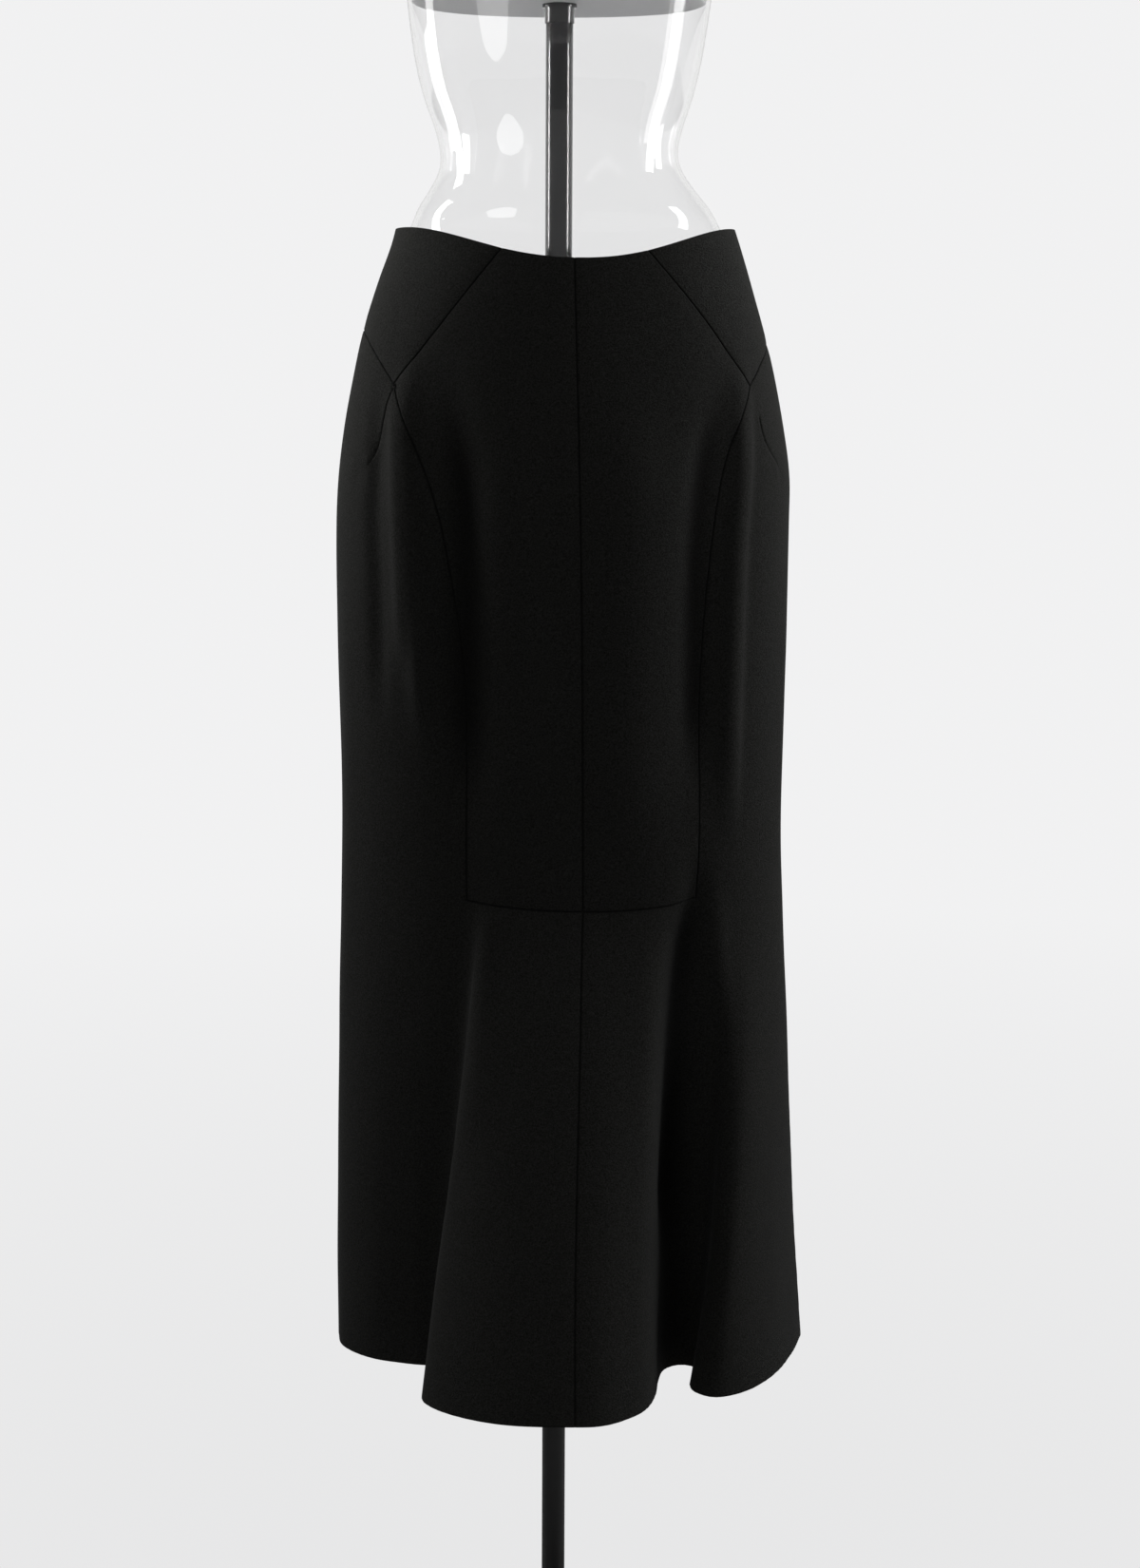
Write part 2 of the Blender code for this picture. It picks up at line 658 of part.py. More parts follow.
def support_plate(material, collection):
    """The flat plate inside the chest that carries the form on the pole."""
    row = smooth(form_rows(), PLATE_HEIGHT)
    inset = FORM_WALL + PLATE_CLEARANCE
    mesh = bmesh.new()
    corners = []
    for k in range(ROUND_STEPS):
        x, y = ring(row.centre, row.half - inset, row.back - inset, row.front - inset,
                    row.squareness, 360 * k / ROUND_STEPS)
        corners.append(mesh.verts.new((x, y, PLATE_HEIGHT)))
    mesh.faces.new(corners)
    plate = finish("support_plate", mesh, material, collection)
    thickness = plate.modifiers.new("Thickness", "SOLIDIFY")
    thickness.thickness = PLATE_THICKNESS
    thickness.offset = 1.0
    return plate


def turned(name, profile, material, collection):
    """A round piece about the pole, from a profile of (radius, height) that runs down its outer side."""
    mesh = bmesh.new()
    corners = [mesh.verts.new((radius, 0.0, height)) for radius, height in profile]
    closed = profile[0][0] > 0 or profile[-1][0] > 0
    for a, b in zip(corners, corners[1:] + (corners[:1] if closed else [])):
        mesh.edges.new([a, b])
    piece = finish(name, mesh, material, collection)
    screw = piece.modifiers.new("Turn", "SCREW")
    screw.axis = "Z"
    screw.angle = math.tau
    screw.steps = screw.render_steps = ROUND_STEPS
    screw.use_merge_vertices = True
    screw.merge_threshold = 0.00005
    screw.use_smooth_shade = True
    return piece


def pole(name, radius, low, high, material, collection):
    """A round bar about the Z axis."""
    mesh = bmesh.new()
    bmesh.ops.create_cone(
        mesh, cap_ends=True, segments=ROUND_STEPS, radius1=radius, radius2=radius, depth=high - low
    )
    bmesh.ops.translate(mesh, verts=mesh.verts, vec=(0, 0, (low + high) / 2))
    return finish(name, mesh, material, collection)


def stand(paint, satin, collection):
    """The poles, the collar that joins them, the socket under the plate, and the base."""
    socket_top = PLATE_HEIGHT - FIT_GAP
    flange_low, mouth = socket_top - SOCKET_FLOOR, socket_top - SOCKET_DEPTH
    upper_top = flange_low - FIT_GAP
    pole("pole_upper", UPPER_POLE_RADIUS, POLE_JOIN + FIT_GAP, upper_top, paint, collection)
    pole("pole_lower", LOWER_POLE_RADIUS, BOSS_FLOOR + FIT_GAP, POLE_JOIN, satin, collection)
    bore = UPPER_POLE_RADIUS + FIT_GAP
    turned("pole_socket", [
        (0.0, socket_top), (SOCKET_FLANGE, socket_top), (SOCKET_FLANGE, flange_low),
        (SOCKET_RADIUS, flange_low), (SOCKET_RADIUS, mouth), (bore, mouth),
        (bore, flange_low), (0.0, flange_low),
    ], paint, collection)
    narrow = LOWER_POLE_RADIUS + FIT_GAP
    turned("pole_collar", [
        (bore, POLE_JOIN + COLLAR_HALF), (COLLAR_RADIUS, POLE_JOIN + COLLAR_HALF),
        (COLLAR_RADIUS, POLE_JOIN - COLLAR_HALF), (narrow, POLE_JOIN - COLLAR_HALF),
        (narrow, POLE_JOIN), (bore, POLE_JOIN),
    ], satin, collection)
    turned("base", [
        (narrow, BOSS_HEIGHT), (BOSS_RADIUS, BOSS_HEIGHT), (BOSS_RADIUS, BASE_THICKNESS),
        (BASE_RADIUS - BASE_EDGE, BASE_THICKNESS), (BASE_RADIUS, BASE_THICKNESS - BASE_EDGE),
        (BASE_RADIUS, BASE_FOOT), (BASE_RADIUS - BASE_FOOT, 0.0), (0.0, 0.0),
        (0.0, BOSS_FLOOR), (narrow, BOSS_FLOOR),
    ], satin, collection)


def plain_material(name, colour, roughness, metallic=0.0, alpha=1.0):
    """A Principled material with the piece's own colour."""
    material = bpy.data.materials.new(name)
    material.use_nodes = True
    shader = material.node_tree.nodes["Principled BSDF"]
    shader.inputs["Base Color"].default_value = (*colour, 1.0)
    shader.inputs["Roughness"].default_value = roughness
    shader.inputs["Metallic"].default_value = metallic
    shader.inputs["Alpha"].default_value = alpha
    return material


def main():
    clear_scene()
    collection = bpy.data.collections.new("Maxi skirt on a dress form")
    bpy.context.scene.collection.children.link(collection)
    wool = plain_material("Black felted wool", (0.006, 0.006, 0.0065), 0.9)
    clear = plain_material("Clear plastic", (0.93, 0.93, 0.93), 0.06, alpha=0.25)
    plate_paint = plain_material("Dark grey plate", (0.09, 0.09, 0.095), 0.45)
    gloss = plain_material("Gloss black paint", (0.008, 0.008, 0.01), 0.15, 0.3)
    satin = plain_material("Satin black paint", (0.012, 0.012, 0.013), 0.4, 0.2)
    skirt(wool, collection)
    form_half("dress_form_back", -90.0, -1, clear, collection)
    form_half("dress_form_front", 90.0, 1, clear, collection)
    support_plate(plate_paint, collection)
    stand(gloss, satin, collection)


main()
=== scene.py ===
"""A long black skirt of felted wool on a clear dress form and its stand, lit to be seen from behind.

Metres, +Z up. The pole stands on the Z axis and the floor is at zero. The back of the skirt faces -Y and
the wearer's right is +X. A place on the cloth is an angle in degrees from centre back, which grows towards
+X and round to the front, and a height above the hem.
"""

import logging
import math
from dataclasses import dataclass
from enum import Enum
from functools import cached_property, partial
from typing import Callable, NamedTuple

import bmesh
import bpy
import numpy as np
from mathutils import Matrix, Vector
from mathutils.kdtree import KDTree


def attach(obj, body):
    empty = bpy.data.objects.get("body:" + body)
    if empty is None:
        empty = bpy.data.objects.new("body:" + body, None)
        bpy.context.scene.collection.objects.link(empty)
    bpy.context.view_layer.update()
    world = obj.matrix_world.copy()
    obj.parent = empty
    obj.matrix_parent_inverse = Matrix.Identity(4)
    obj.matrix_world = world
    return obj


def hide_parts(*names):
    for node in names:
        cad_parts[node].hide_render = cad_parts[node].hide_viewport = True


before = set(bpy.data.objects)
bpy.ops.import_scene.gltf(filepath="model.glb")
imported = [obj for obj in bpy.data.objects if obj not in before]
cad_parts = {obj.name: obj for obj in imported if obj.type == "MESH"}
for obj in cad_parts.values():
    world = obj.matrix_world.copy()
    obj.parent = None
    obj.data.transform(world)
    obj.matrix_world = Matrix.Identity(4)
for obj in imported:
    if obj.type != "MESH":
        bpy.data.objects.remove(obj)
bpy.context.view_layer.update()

LOG = logging.getLogger("skirt")
# The one body that every piece rides.
BODY = "root"
# How far round the cloth a degree of angle reaches, about.
DEGREE = 0.0030
# The cloth's layer of painted shade along the seams and in the deep troughs, from 0 to 1.
SHADE_LAYER = "painted_shade"
# The two ends of an edge, as shares of its length.
START = np.array(0.0)
END = np.array(1.0)

Places = np.ndarray
Edge = Callable[[np.ndarray], Places]
Path = tuple[tuple[float, float], ...]


class Side(Enum):
    """The wearer's two sides, as the photograph shows them from behind."""

    LEFT = -1
    RIGHT = 1

    @property
    def word(self) -> str:
        """The side's name as the nodes give it."""
        return self.name.lower()


class Curve:
    """A smooth line through the rows of a table, whose first column is the key."""

    def __init__(self, rows: tuple[tuple[float, ...], ...] | np.ndarray) -> None:
        """Keep the rows and the slope of the line at each of them.

        Args:
            rows: the key and the values of each row, with rising keys.
        """
        table = np.array(rows, dtype=float)
        self.keys = table[:, 0]
        self.values = table[:, 1:]
        before = np.maximum(np.arange(len(table)) - 1, 0)
        after = np.minimum(np.arange(len(table)) + 1, len(table) - 1)
        run = (self.keys[after] - self.keys[before])[:, None]
        self.slopes = (self.values[after] - self.values[before]) / run

    def at(self, key: np.ndarray) -> np.ndarray:
        """Read the line.

        Args:
            key: the keys to read it at, held inside the table.

        Returns:
            One row of values for each key.
        """
        key = np.clip(key, self.keys[0], self.keys[-1])
        low = np.clip(np.searchsorted(self.keys, key, side="right") - 1, 0, len(self.keys) - 2)
        step = (self.keys[low + 1] - self.keys[low])[..., None]
        t = (key - self.keys[low])[..., None] / step
        start = self.values[low] * (1 + 2 * t) * (1 - t) ** 2 + self.slopes[low] * step * t * (1 - t) ** 2
        end = self.values[low + 1] * t * t * (3 - 2 * t) - self.slopes[low + 1] * step * t * t * (1 - t)
        return start + end

    def one(self, key: np.ndarray) -> np.ndarray:
        """Read the first value of the line at each key."""
        return self.at(key)[..., 0]


# Level sections of the skirt's tube: height, left, right, back, front, squareness.
SECTIONS = Curve((
    (0.000, 0.1977, 0.2262, 0.122, 0.138, 2.20), (0.090, 0.1980, 0.2196, 0.121, 0.132, 2.20),
    (0.180, 0.1974, 0.2148, 0.120, 0.127, 2.20), (0.300, 0.1952, 0.2090, 0.120, 0.121, 2.20),
    (0.400, 0.1937, 0.2037, 0.120, 0.117, 2.20), (0.490, 0.1925, 0.2008, 0.121, 0.114, 2.25),
    (0.660, 0.1947, 0.2034, 0.123, 0.110, 2.25), (0.745, 0.1951, 0.2047, 0.124, 0.107, 2.20),
    (0.785, 0.1932, 0.2045, 0.123, 0.105, 2.15), (0.826, 0.1880, 0.1990, 0.120, 0.102, 2.12),
    (0.867, 0.1802, 0.1911, 0.117, 0.099, 2.10), (0.909, 0.1709, 0.1806, 0.113, 0.095, 2.10),
    (0.950, 0.1582, 0.1686, 0.108, 0.090, 2.10), (0.982, 0.1465, 0.1585, 0.102, 0.084, 2.10),
    (1.000, 0.1415, 0.1525, 0.098, 0.080, 2.10),
))
# The flared hem: angle at the knee, then the place in the hem, then how late the sideways move comes.
FLARES = Curve((
    (-90.0, -0.1977, 0.000, 1.0), (-71.0, -0.1905, 0.037, 1.0), (-52.0, -0.1630, 0.070, 1.0),
    (-36.0, -0.1250, 0.0865, 1.0), (-26.0, -0.1040, 0.092, 1.0), (-20.5, -0.0945, 0.106, 1.0),
    (-18.4, -0.0985, 0.135, 1.0), (-16.5, -0.1125, 0.166, 1.0), (-13.0, -0.1060, 0.193, 1.0),
    (-8.5, -0.0780, 0.221, 1.0), (-3.0, -0.0370, 0.240, 1.0), (4.3, 0.0188, 0.244, 1.0),
    (12.0, 0.0450, 0.239, 1.0), (18.5, 0.0655, 0.221, 0.9), (24.0, 0.0795, 0.196, 0.7),
    (27.5, 0.0880, 0.163, 0.6), (31.0, 0.0920, 0.128, 0.7), (34.5, 0.0980, 0.098, 0.8),
    (38.0, 0.1120, 0.084, 1.0), (41.0, 0.1255, 0.091, 1.5), (42.8, 0.1260, 0.112, 1.8),
    (44.5, 0.1190, 0.136, 2.0), (47.5, 0.1240, 0.157, 2.0), (53.0, 0.1420, 0.168, 1.6),
    (61.0, 0.1700, 0.149, 1.2), (69.0, 0.1950, 0.108, 1.0), (79.0, 0.2150, 0.050, 1.0),
    (90.0, 0.2262, 0.000, 1.0),
))
# Seams of the back: height and how far right of the pole they lie.
CENTRE_BACK = Curve(((0.40, 0.024), (0.70, 0.021), (1.00, 0.013)))
PRINCESS = {
    Side.LEFT: Curve(((0.40, -0.076), (0.60, -0.080), (0.74, -0.099), (0.80, -0.116), (0.863, -0.140))),
    Side.RIGHT: Curve(((0.40, 0.124), (0.60, 0.125), (0.72, 0.132), (0.80, 0.144), (0.863, 0.165))),
}
DIAGONAL = {
    Side.LEFT: Curve(((0.863, -0.140), (0.92, -0.094), (0.98, -0.045))),
    Side.RIGHT: Curve(((0.863, 0.165), (0.92, 0.124), (0.98, 0.0725))),
}
DIAGONAL_TOP = 0.98
# How deep the cloth sinks in along the princess seams, by height.
TROUGHS = Curve((
    (0.300, 0.0), (0.420, 0.0030), (0.560, 0.0050), (0.720, 0.0060), (0.790, 0.0040), (0.845, 0.0),
    (1.0, 0.0),
))
# Seams of the front: height and distance from centre front.
FRONT_SEAM = Curve(((0.00, 0.128), (0.40, 0.100), (0.60, 0.102), (0.76, 0.120), (0.863, 0.148)))
FRONT_DIAGONAL = Curve(((0.863, 0.148), (0.92, 0.104), (0.98, 0.058)))
# Sections of the dress form above the skirt: height above the floor, centre, half, back, front, squareness.
FORM_UPPER = (
    (1.315, 0.0045, 0.1270, 0.0860, 0.0740, 2.05), (1.331, 0.0030, 0.1155, 0.0800, 0.0700, 2.05),
    (1.347, 0.0015, 0.1060, 0.0760, 0.0675, 2.05), (1.362, 0.0000, 0.1034, 0.0745, 0.0670, 2.05),
    (1.380, -0.0005, 0.1068, 0.0750, 0.0690, 2.05), (1.412, -0.0010, 0.1174, 0.0790, 0.0760, 2.08),
    (1.444, -0.0010, 0.1246, 0.0840, 0.0850, 2.10), (1.492, -0.0005, 0.1315, 0.0900, 0.0990, 2.15),
    (1.545, 0.0000, 0.1390, 0.0950, 0.1100, 2.20), (1.600, 0.0000, 0.1490, 0.0960, 0.1010, 2.20),
    (1.650, 0.0000, 0.1570, 0.0920, 0.0830, 2.20), (1.685, 0.0000, 0.1520, 0.0830, 0.0690, 2.15),
    (1.710, 0.0000, 0.1250, 0.0710, 0.0590, 2.10), (1.730, 0.0000, 0.0860, 0.0600, 0.0530, 2.05),
    (1.748, 0.0000, 0.0600, 0.0530, 0.0500, 2.00), (1.775, 0.0000, 0.0515, 0.0500, 0.0490, 2.00),
    (1.800, 0.0000, 0.0500, 0.0490, 0.0490, 2.00),
)
# How far the form stays inside the cloth, by height above the hem.
FORM_FIT = (
    (0.680, 0.0260), (0.720, 0.0170), (0.770, 0.0100), (0.820, 0.0055), (0.865, 0.0022), (0.905, 0.0011),
    (0.945, 0.0011), (0.970, 0.0035), (0.998, 0.0098),
)


class Crease(NamedTuple):
    """A soft ridge, or a trough where the lift is below zero, that runs through places on the cloth."""

    lift: float
    width: float
    path: Path


CREASES = (
    # The left ridge, its outer shoulder, and the shallow trough outside it.
    Crease(0.0074, 0.0115, ((-47.2, 0.900), (-41.7, 0.820), (-39.6, 0.778), (-37.9, 0.738), (-37.0, 0.698),
                            (-35.4, 0.641), (-34.1, 0.540))),
    Crease(0.0052, 0.0085, ((-50.7, 0.880), (-46.4, 0.820), (-44.3, 0.778), (-42.6, 0.738), (-41.7, 0.698),
                            (-40.2, 0.600))),
    Crease(-0.0038, 0.0110, ((-57.0, 0.870), (-53.6, 0.800), (-52.2, 0.750), (-51.0, 0.700),
                             (-49.8, 0.560))),
    # The left trough, which is deepest high up.
    Crease(-0.0054, 0.0170, ((-35.0, 0.900), (-25.5, 0.803), (-23.7, 0.763), (-22.7, 0.707), (-22.0, 0.642),
                             (-21.6, 0.577), (-21.3, 0.470))),
    Crease(-0.0056, 0.0150, ((-27.0, 0.820), (-25.0, 0.790), (-23.7, 0.763), (-22.7, 0.707), (-22.0, 0.642),
                             (-21.8, 0.540))),
    # The swell of the right upper back.
    Crease(0.0066, 0.0290, ((17.5, 0.880), (15.5, 0.800), (14.0, 0.700), (14.0, 0.580), (14.5, 0.430))),
    # The right ridge, its narrow crest, and the trough inside it.
    Crease(0.0060, 0.0110, ((57.0, 0.910), (51.0, 0.836), (47.4, 0.779), (45.8, 0.739), (45.2, 0.707),
                            (44.6, 0.641), (44.4, 0.460))),
    Crease(0.0018, 0.0055, ((59.0, 0.900), (54.6, 0.836), (50.8, 0.779), (49.2, 0.739), (48.6, 0.707),
                            (48.0, 0.641), (47.8, 0.450))),
    Crease(-0.0062, 0.0138, ((47.5, 0.880), (39.2, 0.828), (34.8, 0.780), (33.2, 0.740), (32.6, 0.707),
                             (32.6, 0.643), (32.8, 0.585), (33.4, 0.500))),
    # The flare: its right crest, the deep valley, the rounded fold past that, and its left crest.
    Crease(0.0020, 0.0150, ((19.5, 0.450), (21.0, 0.341), (22.0, 0.258), (22.5, 0.175), (23.0, 0.000),
                            (23.0, -0.220))),
    Crease(-0.0100, 0.0120, ((34.8, 0.480), (33.4, 0.400), (33.0, 0.340), (33.4, 0.280), (33.8, 0.200),
                             (34.8, 0.080))),
    Crease(0.0036, 0.0100, ((41.0, 0.450), (41.5, 0.360), (43.0, 0.280), (45.0, 0.200), (47.5, 0.080))),
    Crease(0.0028, 0.0100, ((-14.0, 0.450), (-15.4, 0.413), (-15.2, 0.380), (-14.3, 0.340), (-13.4, 0.290),
                            (-12.4, 0.200))),
    # The dents at the darts' points.
    Crease(-0.0010, 0.009, ((-57.4, 0.788), (-61.0, 0.784), (-66.0, 0.786))),
    Crease(-0.0006, 0.008, ((68.0, 0.789), (73.0, 0.784))),
    # Quieter ones on the sides, the back and the front.
    Crease(0.0012, 0.020, ((-72.0, 0.730), (-70.0, 0.560), (-73.0, 0.400), (-75.0, 0.200))),
    Crease(-0.0012, 0.018, ((-80.0, 0.660), (-84.0, 0.480), (-82.0, 0.300))),
    Crease(0.0014, 0.022, ((76.0, 0.700), (79.0, 0.560), (77.0, 0.420))),
    Crease(-0.0010, 0.016, ((8.0, 0.700), (2.0, 0.640), (-6.0, 0.600))),
    Crease(0.0016, 0.018, ((128.0, 0.800), (126.0, 0.700), (124.0, 0.560), (126.0, 0.420))),
    Crease(-0.0018, 0.016, ((140.0, 0.790), (143.0, 0.680), (142.0, 0.560))),
    Crease(0.0018, 0.019, ((-130.0, 0.790), (-128.0, 0.660), (-127.0, 0.500), (-129.0, 0.380))),
    Crease(-0.0016, 0.015, ((-143.0, 0.800), (-145.0, 0.700), (-146.0, 0.600))),
    Crease(0.0014, 0.024, ((168.0, 0.560), (172.0, 0.400), (170.0, 0.220))),
    Crease(-0.0014, 0.022, ((-168.0, 0.480), (-165.0, 0.300), (-163.0, 0.120))),
)
# The darts' stitched lines, from their open ends to their points.
DARTS: tuple[Path, ...] = (
    ((-49.5, 0.861), (-51.6, 0.847), (-52.5, 0.834), (-53.6, 0.818), (-55.4, 0.804), (-58.4, 0.791)),
    ((60.4, 0.836), (60.9, 0.824), (62.4, 0.813), (65.6, 0.803), (70.1, 0.792)),
)


def signed_power(value: np.ndarray, power: np.ndarray) -> np.ndarray:
    """A power of the value's size, with its sign kept."""
    return np.sign(value) * np.abs(value) ** power


def mix(a: np.ndarray, b: np.ndarray, share: np.ndarray) -> np.ndarray:
    """The point at a share of the way from a to b."""
    return a + (b - a) * share


def smooth_step(value: np.ndarray) -> np.ndarray:
    """Ease from 0 to 1 as the value does."""
    value = np.clip(value, 0.0, 1.0)
    return value * value * (3 - 2 * value)


def bell(distance: np.ndarray, width: float) -> np.ndarray:
    """A soft rise that is 1 at no distance and fades over the width."""
    return np.exp(-(distance / width) ** 2)


def place(angle: np.ndarray, height: np.ndarray) -> Places:
    """Angles and heights as places, with either spread to fit the other."""
    return np.stack(np.broadcast_arrays(np.asarray(angle, float), np.asarray(height, float)), axis=-1)


def oval(section: np.ndarray, angle: np.ndarray) -> tuple[np.ndarray, np.ndarray]:
    """Points of a level oval about the pole.

    Args:
        section: its centre, half width, back, front and squareness, in the last axis.
        angle: the angles in degrees from centre back.

    Returns:
        The points' x and y.
    """
    centre, half, back, front, squareness = np.moveaxis(section, -1, 0)
    sine, cosine = np.sin(np.radians(angle)), np.cos(np.radians(angle))
    depth = np.where(cosine > 0, back, front)
    power = 2 / squareness
    return centre + half * signed_power(sine, power), -depth * signed_power(cosine, power)


@dataclass(frozen=True)
class SkirtShape:
    """The outer face of the cloth, and where the seams and edges run on it."""

    hem_height: float = 0.300
    waist_height: float = 0.998
    knee_corner: float = 0.4225
    knee_sag: float = 0.008
    junction: float = 0.863
    yoke_rise_left: float = 0.047
    yoke_rise_right: float = 0.037
    back_dip: float = 0.029
    front_dip: float = 0.036
    dip_power: float = 4.0
    waist_turn: float = 4.0
    flare_ease: float = 1.05
    side_ease: float = 0.14
    side_turn: float = 9.0
    least_ease: float = 1e-6
    trough_width: float = 0.026
    knee_rows: int = 12
    rise_rows: int = 11
    yoke_rows: int = 5

    def section(self, height: np.ndarray) -> np.ndarray:
        """Centre, half width, back, front and squareness of the tube at each height."""
        left, right, back, front, squareness = np.moveaxis(SECTIONS.at(height), -1, 0)
        return np.stack([(right - left) / 2, (right + left) / 2, back, front, squareness], axis=-1)

    def plain(self, angle: np.ndarray, height: np.ndarray) -> tuple[np.ndarray, np.ndarray]:
        """The tube without its flare.

        Args:
            angle: angles from centre back, within half a turn of it.
            height: heights above the hem.

        Returns:
            The points' x and y.
        """
        x, y = oval(self.section(height), angle)
        depth = np.where(np.abs(angle) < 90, np.maximum(TROUGHS.one(height), 0.0), 0.0)
        for seam in PRINCESS.values():
            y = y + depth * bell(x - seam.one(height), self.trough_width)
        return x, y

    def angle_at(self, x: np.ndarray, height: np.ndarray) -> np.ndarray:
        """The angle at which the back of the tube passes x."""
        centre, half, _, _, squareness = np.moveaxis(self.section(height), -1, 0)
        return np.degrees(np.arcsin(signed_power((x - centre) / half, squareness / 2)))

    def corner(self, side: Side) -> float:
        """The angle of the knee seam's corner."""
        knee = np.array(self.knee_corner)
        return float(self.angle_at(PRINCESS[side].one(knee), knee))

    def knee(self, angle: np.ndarray) -> np.ndarray:
        """Follow the seam across the back, which sags between its corners.

        Args:
            angle: angles from centre back.

        Returns:
            Its heights there.
        """
        left, right = self.corner(Side.LEFT), self.corner(Side.RIGHT)
        share = np.clip((angle - left) / (right - left), 0.0, 1.0)
        return self.knee_corner - self.knee_sag * 4 * share * (1 - share)

    def point(self, angle: np.ndarray, height: np.ndarray) -> np.ndarray:
        """Points of the cloth's outer face.

        Args:
            angle: angles from centre back.
            height: heights above the hem.

        Returns:
            The points, in the last axis.
        """
        angle = (np.asarray(angle, float) + 180) % 360 - 180
        angle, height = np.broadcast_arrays(angle, height)
        x, y = self.plain(angle, height)
        knee = self.knee(angle)
        flared = (height < knee) & (np.abs(angle) < 90)
        hem_x, hem_back, lag = np.moveaxis(FLARES.at(angle), -1, 0)
        plain_x, plain_y = self.plain(angle, np.zeros_like(angle))
        fall = self.eased(angle, np.clip(1 - height / knee, 0.0, 1.0))
        x = np.where(flared, x + fall ** lag * (hem_x - plain_x), x)
        y = np.where(flared, y + fall ** self.flare_ease * (-hem_back - plain_y), y)
        return np.stack([x, y, self.hem_height + height], axis=-1)

    def eased(self, angle: np.ndarray, fall: np.ndarray) -> np.ndarray:
        """How far the flare has opened, from the knee to the hem.

        Args:
            angle: angles from centre back.
            fall: the share of the way down from the knee.

        Returns:
            The fall itself between the knee seam's corners, where the seam creases the cloth, and past them
            a share that starts slowly, because the side panel has no seam there.
        """
        past = np.maximum(angle - self.corner(Side.RIGHT), self.corner(Side.LEFT) - angle)
        soft = self.side_ease * smooth_step(past / self.side_turn) + self.least_ease
        return (np.sqrt(fall ** 2 + soft ** 2) - soft) / (np.sqrt(1 + soft ** 2) - soft)

    def normal(self, angle: np.ndarray, height: np.ndarray) -> np.ndarray:
        """The directions out of the cloth.

        Args:
            angle: angles from centre back.
            height: heights above the hem.

        Returns:
            Unit directions, in the last axis.
        """
        turn, rise = 0.4, 0.003
        low = np.maximum(height - rise, 0.0)
        high = np.minimum(height + rise, SECTIONS.keys[-1])
        along = self.point(angle + turn, height) - self.point(angle - turn, height)
        out = np.cross(along, self.point(angle, high) - self.point(angle, low))
        return out / np.linalg.norm(out, axis=-1, keepdims=True)

    def waist(self, angle: np.ndarray) -> np.ndarray:
        """Follow the waist edge, which dips at centre back and front.

        Args:
            angle: angles from centre back.

        Returns:
            Its heights there.
        """
        cosine = np.cos(np.radians(angle - self.waist_turn))
        dip = np.where(cosine > 0, self.back_dip, self.front_dip)
        return self.waist_height - dip * np.abs(cosine) ** self.dip_power

    def front_angle(self, seam: Curve, height: np.ndarray, side: Side) -> np.ndarray:
        """Find a seam of the front on the tube.

        Args:
            seam: its distance from centre front, by height.
            height: the heights to find it at.
            side: the side of the front that it is on.

        Returns:
            Its angles, counted round from centre back by way of that side.
        """
        _, half, _, _, squareness = np.moveaxis(self.section(height), -1, 0)
        share = np.minimum(seam.one(height) / half, 1.0)
        return side.value * (180 - np.degrees(np.arcsin(share ** (squareness / 2))))

    def centre_angle(self) -> float:
        """The angle of centre back at the knee and below it."""
        knee = np.array(self.knee_corner)
        return float(self.angle_at(CENTRE_BACK.one(knee), knee))

    def centre_lower(self, v: np.ndarray) -> Places:
        """Centre back from the hem to the knee."""
        angle = np.full_like(v, self.centre_angle())
        return place(angle, self.knee(angle) * v)

    def centre_upper(self, v: np.ndarray) -> Places:
        """Centre back from the knee to the waist.

        Args:
            v: shares of its length.

        Returns:
            The places there.
        """
        low = self.knee(np.array(self.centre_angle()))
        top = np.array(self.waist_height - self.back_dip)
        height = mix(low, self.waist(self.angle_at(CENTRE_BACK.one(top), top)), v)
        angle = self.angle_at(CENTRE_BACK.one(height), height)
        return place(np.where(v <= 0, self.centre_angle(), angle), height)

    def diagonal_top(self, side: Side) -> float:
        """Height at which the back diagonal meets the waist."""
        top = np.array(DIAGONAL_TOP)
        return float(self.waist(self.angle_at(DIAGONAL[side].one(top), top)))

    def princess(self, side: Side, v: np.ndarray) -> Places:
        """The princess seam from the knee to the tip of the yoke."""
        height = mix(self.knee_corner, self.junction, v)
        return place(self.angle_at(PRINCESS[side].one(height), height), height)

    def diagonal(self, side: Side, v: np.ndarray) -> Places:
        """The back diagonal from the tip of the yoke to the waist."""
        height = mix(self.junction, self.diagonal_top(side), v)
        return place(self.angle_at(DIAGONAL[side].one(height), height), height)

    def corner_fall(self, side: Side, v: np.ndarray) -> Places:
        """The line up the side panel from the hem to the knee seam's corner, which isn't a seam."""
        return place(np.full_like(v, self.corner(side)), self.knee_corner * v)

    def back_turn(self) -> float:
        """The share of an upper back panel's height at which its outer edge turns."""
        return self.rise_rows / (self.rise_rows + self.yoke_rows)

    def front_turn(self) -> float:
        """The share of the front's height at which its edges turn."""
        low = self.knee_rows + self.rise_rows
        return low / (low + self.yoke_rows)

    def back_edge(self, side: Side, v: np.ndarray) -> Places:
        """The outer edge of an upper back panel: the princess seam, then the diagonal.

        Args:
            side: the panel's side.
            v: shares of its length.

        Returns:
            The places there.
        """
        turn = self.back_turn()
        lower = self.princess(side, np.minimum(v / turn, 1.0))
        upper = self.diagonal(side, np.maximum((v - turn) / (1 - turn), 0.0))
        return np.where((v <= turn)[..., None], lower, upper)

    def front_low(self, side: Side, v: np.ndarray) -> Places:
        """The front seam from the hem to the height of the knee."""
        height = self.knee_corner * v
        return place(self.front_angle(FRONT_SEAM, height, side), height)

    def front_rise(self, side: Side, v: np.ndarray) -> Places:
        """The front seam from the height of the knee to the tip of the yoke."""
        height = mix(self.knee_corner, self.junction, v)
        return place(self.front_angle(FRONT_SEAM, height, side), height)

